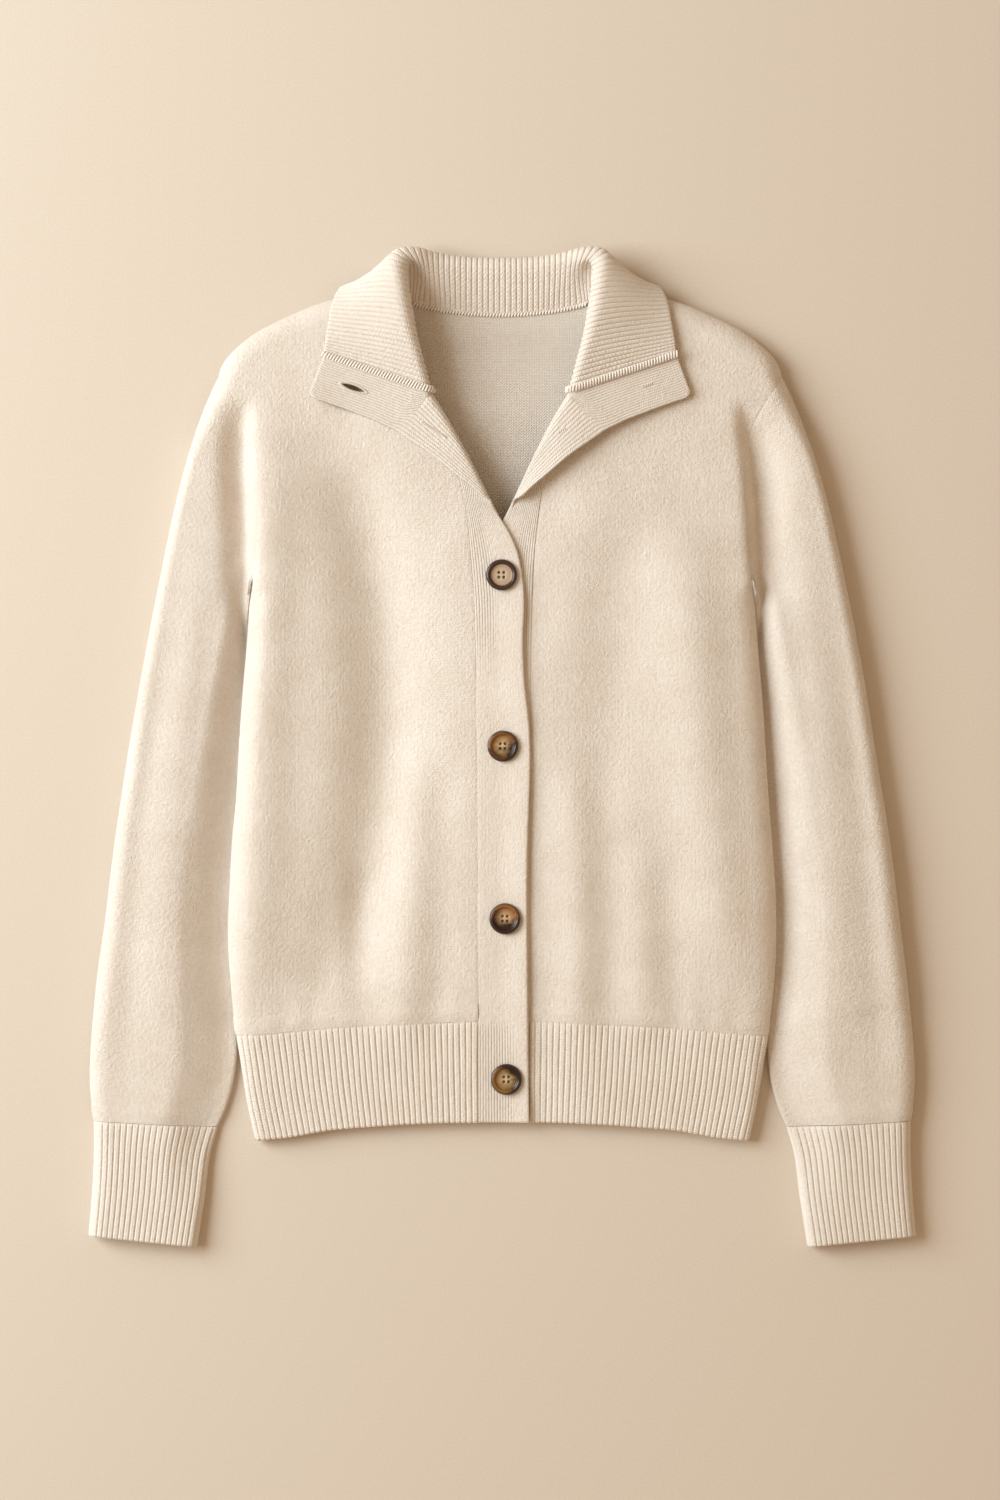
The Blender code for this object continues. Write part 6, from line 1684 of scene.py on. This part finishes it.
def pile_tree():
    """Loose fibres that stand out of brushed wool where its nap is set, denser on edges seen from above."""
    tree, given, result = tree_of("GeometryNodeTree", "wool pile", [
        ("Geometry", "Geometry"), ("Density", "Float"), ("Edge Density", "Float"), ("Fibre Length", "Float"),
        ("Fibre Radius", "Float"), ("Seed", "Int"), ("Material", "Material")], [("Geometry", "Geometry")])
    upright, root = (axes_of(node_of(tree, "GeometryNodeInput" + kind))[2] for kind in ("Normal", "Position"))
    clear = calc("GREATER_THAN", upright, PILE_LEAST_TURN) * calc("GREATER_THAN", root, PILE_LOWEST_ROOT)
    density = given["Density"] + given["Edge Density"] * (1.0 - abs(upright))
    roots = node_of(tree, "GeometryNodeDistributePointsOnFaces", Mesh=given["Geometry"],
                    Density=density * (named(tree, "nap", "FLOAT") * clear), Seed=given["Seed"])
    length, seed = given["Fibre Length"], given["Seed"]
    fibre = node_of(tree, "GeometryNodeMeshCone", Vertices=3, Side_Segments=2, Radius_Top=0.0,
                    Radius_Bottom=given["Fibre Radius"], Depth=length)
    height = axes_of(node_of(tree, "GeometryNodeInputPosition"))[2]
    bend = (height / length) ** 2.0 * (length * 0.6)
    bent = node_of(tree, "GeometryNodeSetPosition", Geometry=fibre, Offset=vector_of(tree, bend, 0.0, 0.0))
    lean = vector_of(tree, random_value(seed, 0.7, 1.5, 1.0), 0.0, random_value(seed, 0.0, 2.0 * np.pi, 2.0))
    tilt = node_of(tree, "FunctionNodeEulerToRotation", Euler=lean)
    turn = node_of(tree, "FunctionNodeRotateRotation", settings={"rotation_space": "LOCAL"},
                   Rotation=roots["Rotation"], Rotate_By=tilt)
    stood = node_of(tree, "GeometryNodeInstanceOnPoints", Points=roots, Instance=bent, Rotation=turn,
                    Scale=random_value(seed, 0.5, 1.25, 3.0))
    return end_tree(tree, stood, given["Material"], result)


def grown(source, tree, values):
    """Plain mesh that a tree makes on an object, with its inputs set by their identifiers."""
    modifier = source.modifiers.new(tree.name, "NODES")
    modifier.node_group = tree
    sockets = {item.name: item.identifier for item in tree.interface.items_tree if item.in_out == "INPUT"}
    for name, value in values.items():
        modifier[sockets[name]] = value
    mesh = evaluated_mesh(source)
    source.modifiers.remove(modifier)
    return mesh


def joined(name, meshes, material):
    """One piece made of several meshes of one material."""
    bm = bmesh.new()
    for mesh in meshes:
        bm.from_mesh(mesh)
        bpy.data.meshes.remove(mesh)
    for face in bm.faces:
        face.material_index = 0
    mesh = mesh_from(bm, name)
    mesh.materials.append(material)
    mesh.shade_smooth()
    piece = new_piece(name, mesh)
    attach(piece, "root")


# ---------------------------------------------------------------- sewing and pile

def on_piece(name, spots):
    """Points and normals straight below level places (in metres) on a dressed piece."""
    mesh = bpy.data.objects[name].data
    tree = BVHTree.FromPolygons([v.co[:] for v in mesh.vertices], [p.vertices[:] for p in mesh.polygons])
    found = [tree.ray_cast(Vector((x, y, 0.1)), Vector((0.0, 0.0, -1.0)))[:2] for x, y in spots]
    if any(point is None for point, _ in found):
        raise RuntimeError(f"a stitch path leaves {name}")
    return np.array([point[:] for point, _ in found]), np.array([normal[:] for _, normal in found])


def stitched(tree, points, ups, look, material):
    """Mesh of stitches along a path of points, in metres, each with its upward direction."""
    mesh = bpy.data.meshes.new("path")
    mesh.from_pydata(points.tolist(), [(k, k + 1) for k in range(len(points) - 1)], [])
    mesh.attributes.new("up", "FLOAT_VECTOR", "POINT").data.foreach_set("vector", ups.ravel())
    holder = in_scene("path", mesh)
    sizes = {name: value * MM for name, value in STITCH_LOOKS[look].items()}
    made = grown(holder, tree, {**sizes, "Material": material})
    bpy.data.objects.remove(holder)
    return made


def lapel_seam_path(side):
    """The line where a lapel is sewn to the collar's leaf, a little above the cloth."""
    seam, ahead = lapel_seam(np.linspace(3.4, 8.0, 60))
    ups = unit(np.cross(np.gradient(seam, axis=0), ahead))
    ups = ups * np.where(ups[:, 2:] < 0.0, -1.0, 1.0)
    return placed((seam + ups * SEWING_LIFT) * (side, 1.0, 1.0)), ups * (side, 1.0, 1.0)


def back_neck_path():
    """The linked seam between the back's inner face and the collar's stand."""
    sections = np.linspace(NECK_LINK_FROM * half_collar(), half_collar(), 40)
    left = np.array([collar_section(t, [0.0, 0.5]) for t in sections])
    path = np.concatenate([left * MIRROR, left[-2::-1]])
    ups = unit(path[:, 1] - path[:, 0]) * 0.5 + (0.0, 0.0, 0.9)
    return placed(path[:, 0] + ups * NECK_LINK_LIFT), ups


def build_seam_stitches():
    yarn = thread_material("sewing wool", SEWING_WOOL)
    tree = stitch_tree()
    paths = [("overlock", lapel_seam_path(side)) for side in (-1, 1)] + [("linking", back_neck_path())]
    shares = np.linspace(0.0, 1.0, 12)
    for mark in STITCH_MARKS:
        (x0, y0), (x1, y1) = mark["line"]
        spots = [((x0 + (x1 - x0) * s) * MM, (y0 + (y1 - y0) * s) * MM) for s in shares]
        points, ups = on_piece(mark["piece"], spots)
        paths.append((mark["look"], (points + ups * 0.1 * MM, ups)))
    paths.append(("buttonhole", on_piece("knit_band_right", buttonhole_outline(BUTTONHOLE["rim"]))))
    joined("seam_stitches", [stitched(tree, points, ups, look, yarn) for look, (points, ups) in paths], yarn)


def build_pile(names, name, seed):
    """Loose fibres over a group of dressed pieces, as one mesh."""
    tree = bpy.data.node_groups.get("wool pile") or pile_tree()
    fibre = bpy.data.materials.get("loose fibres") or thread_material("loose fibres", settings().wool_light)
    values = {"Density": settings().pile_density, "Edge Density": settings().pile_edge_density,
              "Fibre Length": settings().fibre_length, "Fibre Radius": FIBRE_RADIUS * MM, "Material": fibre}
    joined(name, [grown(bpy.data.objects["knit_" + cloth], tree, {**values, "Seed": seed + number})
                  for number, cloth in enumerate(names)], fibre)


# ---------------------------------------------------------------- settings and operators

class CardiganSettings(bpy.types.PropertyGroup):
    """Sizes and colours that a user would change."""

    # The dark wool colour is laid where the nap's fibres lie low and in rib grooves, as painted shade; the
    # light one on the fibres' tops.
    wool_light: FloatVectorProperty(name="Light Wool", description="Colour of the brushed fibres' tips",
                                    subtype="COLOR", size=3, min=0.0, max=1.0, default=(0.90, 0.815, 0.735))
    wool_dark: FloatVectorProperty(name="Dark Wool", subtype="COLOR", size=3, min=0.0, max=1.0,
                                   default=(0.72, 0.61, 0.505),
                                   description="Colour of the wool between the brushed fibres")
    pile_density: FloatProperty(name="Pile Density", description="Loose fibres on each square metre of cloth",
                                min=0.0, default=24000.0)
    pile_edge_density: FloatProperty(name="Edge Pile Density", min=0.0, default=60000.0,
                                     description="More loose fibres where the cloth turns down")
    fibre_length: FloatProperty(name="Fibre Length", description="Length of the loose fibres", unit="LENGTH",
                                min=0.0, default=0.0032)


def settings():
    return bpy.context.scene.cardigan_settings


def wool(name):
    """One of the garment's wool materials, made when it is first asked for."""
    return bpy.data.materials.get(name) or wool_material(name, **WOOL_LOOKS[name])


# Painted shade: each look darkens the colour in its rib grooves and between its stitch strands, by its groove
# value and its stitch share.
WOOL_LOOKS = {
    "felted wool": {"mottle": 0.8, "stitch": {"column": 0.2, "row": 0.17, "share": 0.3}, "nap_share": 1.5,
                    "painted_groove_shade": 0.0, "fine_ribs": 0.0},
    "ribbed wool": {"mottle": 0.55, "stitch": {"column": 0.44, "row": 0.19, "share": 0.45}, "nap_share": 1.0,
                    "painted_groove_shade": 0.28, "fine_ribs": 0.0},
    "purl wool": {"mottle": 0.7, "stitch": {"column": 0.24, "row": 0.2, "share": 0.8}, "nap_share": 0.6,
                  "painted_groove_shade": 0.0, "fine_ribs": 0.0},
    "lapel wool": {"mottle": 0.7, "stitch": {"column": 0.244, "row": 0.18, "share": 0.22}, "nap_share": 1.1,
                   "painted_groove_shade": 0.55, "fine_ribs": 0.5},
}


class CARDIGAN_OT_body(bpy.types.Operator):
    """Builds both fronts and the back"""

    bl_idname = "cardigan.body"
    bl_label = "Fronts and Back"

    def execute(self, context):
        build_front("front_right", -1, [wool("felted wool")])
        build_front("front_left", 1, [wool("felted wool")])
        build_back("back_panel", [wool("felted wool"), wool("purl wool")])
        return {"FINISHED"}


class CARDIGAN_OT_hem(bpy.types.Operator):
    """Builds the ribbed hem of both fronts and the back"""

    bl_idname = "cardigan.hem"
    bl_label = "Ribbed Hem"

    def execute(self, context):
        build_front_hem("hem_rib_right", -1, [wool("ribbed wool")])
        build_front_hem("hem_rib_left", 1, [wool("ribbed wool")])
        build_back_hem("back_hem_rib", [wool("ribbed wool")])
        return {"FINISHED"}


class CARDIGAN_OT_sleeves(bpy.types.Operator):
    """Builds both sleeves and their ribbed cuffs"""

    bl_idname = "cardigan.sleeves"
    bl_label = "Sleeves and Cuffs"

    def execute(self, context):
        for wearer, side in (("right", -1), ("left", 1)):
            build_sleeve("sleeve_" + wearer, side, [wool("felted wool")])
            build_cuff("cuff_" + wearer, side, [wool("ribbed wool")])
        return {"FINISHED"}


class CARDIGAN_OT_collar(bpy.types.Operator):
    """Builds the ribbed collar"""

    bl_idname = "cardigan.collar"
    bl_label = "Ribbed Collar"

    def execute(self, context):
        build_collar("collar", [wool("ribbed wool")])
        return {"FINISHED"}


class CARDIGAN_OT_bands(bpy.types.Operator):
    """Builds the two button bands with their turned-back lapels"""

    bl_idname = "cardigan.bands"
    bl_label = "Button Bands"

    def execute(self, context):
        build_band("band_right", -1, [wool("lapel wool")])
        build_band("band_left", 1, [wool("lapel wool")])
        return {"FINISHED"}


class CARDIGAN_OT_buttons(bpy.types.Operator):
    """Builds the four-hole horn buttons and their thread"""

    bl_idname = "cardigan.buttons"
    bl_label = "Horn Buttons"

    def execute(self, context):
        for number, button in enumerate(table_rows(BUTTONS), start=1):
            build_button(number, button)
        return {"FINISHED"}


class CARDIGAN_OT_stitches(bpy.types.Operator):
    """Sews the collar to the lapels and the back neck, and marks the buttonholes"""

    bl_idname = "cardigan.stitches"
    bl_label = "Seam Stitches"

    def execute(self, context):
        build_seam_stitches()
        return {"FINISHED"}


class CARDIGAN_OT_pile(bpy.types.Operator):
    """Grows the loose fibres of the brushed wool"""

    bl_idname = "cardigan.pile"
    bl_label = "Wool Pile"

    def execute(self, context):
        build_pile(PILE_BODY, "pile_body", 11)
        build_pile(PILE_SLEEVES, "pile_sleeves", 31)
        return {"FINISHED"}


class CARDIGAN_OT_stage(bpy.types.Operator):
    """Sets up the floor, the soft daylight and the camera that looks straight down"""

    bl_idname = "cardigan.stage"
    bl_label = "Floor, Light and Camera"

    def execute(self, context):
        build_stage(context)
        return {"FINISHED"}


PILE_BODY = ("front_right", "front_left", "hem_rib_right", "hem_rib_left", "collar", "band_right",
             "band_left")
PILE_SLEEVES = ("sleeve_right", "sleeve_left", "cuff_right", "cuff_left")
FLOOR_SIZE = 6.0
PAPER_COLOUR = (0.74, 0.635, 0.53)
CAMERA_PLACE = (-0.0016, -0.0018, 2.5)
FOCUS_HEIGHT = 0.015       # height of the plane on which the frame measures VIEW_HEIGHT
VIEW_HEIGHT = 1.08
SENSOR = 36.0


def build_stage(context):
    scene = context.scene
    mesh = bpy.data.meshes.new("floor")
    half = FLOOR_SIZE / 2.0
    corners = [(-half, -half, 0.0), (half, -half, 0.0), (half, half, 0.0), (-half, half, 0.0)]
    mesh.from_pydata(corners, [], [(0, 1, 2, 3)])
    floor = in_scene("floor", mesh)
    mesh.materials.append(grained_material("warm paper", PAPER_COLOUR, 620.0, 0.955, 0.0002, 0.3,
                                           Roughness=0.95, Specular_IOR_Level=0.1))
    camera = in_scene("camera", bpy.data.cameras.new("camera"))
    camera.location = CAMERA_PLACE
    camera.data.lens = SENSOR * (CAMERA_PLACE[2] - FOCUS_HEIGHT) / VIEW_HEIGHT
    camera.data.sensor_width = SENSOR
    camera.data.clip_end = 20.0
    scene.camera = camera
    for light in table_rows(LIGHTS):
        lamp = bpy.data.lights.new(light["name"], "AREA")
        lamp.energy, lamp.size, lamp.color = light["power"], light["size"], light["colour"]
        holder = in_scene(light["name"], lamp)
        holder.location = light["place"]
        aim = Vector((0.0, 0.0, 0.0)) - Vector(light["place"])
        holder.rotation_euler = aim.to_track_quat("-Z", "Y").to_euler()
    world = scene.world or bpy.data.worlds.new("room light")
    scene.world = world
    world.use_nodes = True
    background = world.node_tree.nodes["Background"]
    background.inputs["Color"].default_value = WORLD_COLOUR
    background.inputs["Strength"].default_value = WORLD_STRENGTH
    scene.view_settings.view_transform = "Standard"


LIGHTS = {
    "name": ("window", "room"),
    "place": ((-2.3, 0.71, 1.56), (2.2, -1.2, 2.6)),
    "size": (2.0, 3.0),
    "power": (117.0, 11.0),
    "colour": ((0.85, 0.95, 1.0), (1.0, 0.76, 0.6)),
}
WORLD_STRENGTH = 0.41
WORLD_COLOUR = (1.0, 0.74, 0.47, 1.0)


OPERATORS = (CARDIGAN_OT_stage, CARDIGAN_OT_body, CARDIGAN_OT_hem, CARDIGAN_OT_sleeves, CARDIGAN_OT_collar,
             CARDIGAN_OT_bands, CARDIGAN_OT_buttons, CARDIGAN_OT_stitches, CARDIGAN_OT_pile)


class CARDIGAN_PT_tools(bpy.types.Panel):
    """Lists the operators and settings of the cardigan"""

    bl_idname = "CARDIGAN_PT_tools"
    bl_label = "Cardigan"
    bl_space_type = "VIEW_3D"
    bl_region_type = "UI"
    bl_category = "Cardigan"

    def draw(self, context):
        for name in CardiganSettings.__annotations__:
            self.layout.prop(context.scene.cardigan_settings, name)
        for operator in OPERATORS:
            self.layout.operator(operator.bl_idname)


CLASSES = (CardiganSettings, *OPERATORS, CARDIGAN_PT_tools)


def register():
    for each in CLASSES:
        bpy.utils.register_class(each)
    bpy.types.Scene.cardigan_settings = PointerProperty(type=CardiganSettings)


def unregister():
    del bpy.types.Scene.cardigan_settings
    for each in reversed(CLASSES):
        bpy.utils.unregister_class(each)


def main():
    register()
    for operator in OPERATORS:
        group, name = operator.bl_idname.split(".")
        getattr(getattr(bpy.ops, group), name)()


if __name__ == "__main__":
    main()
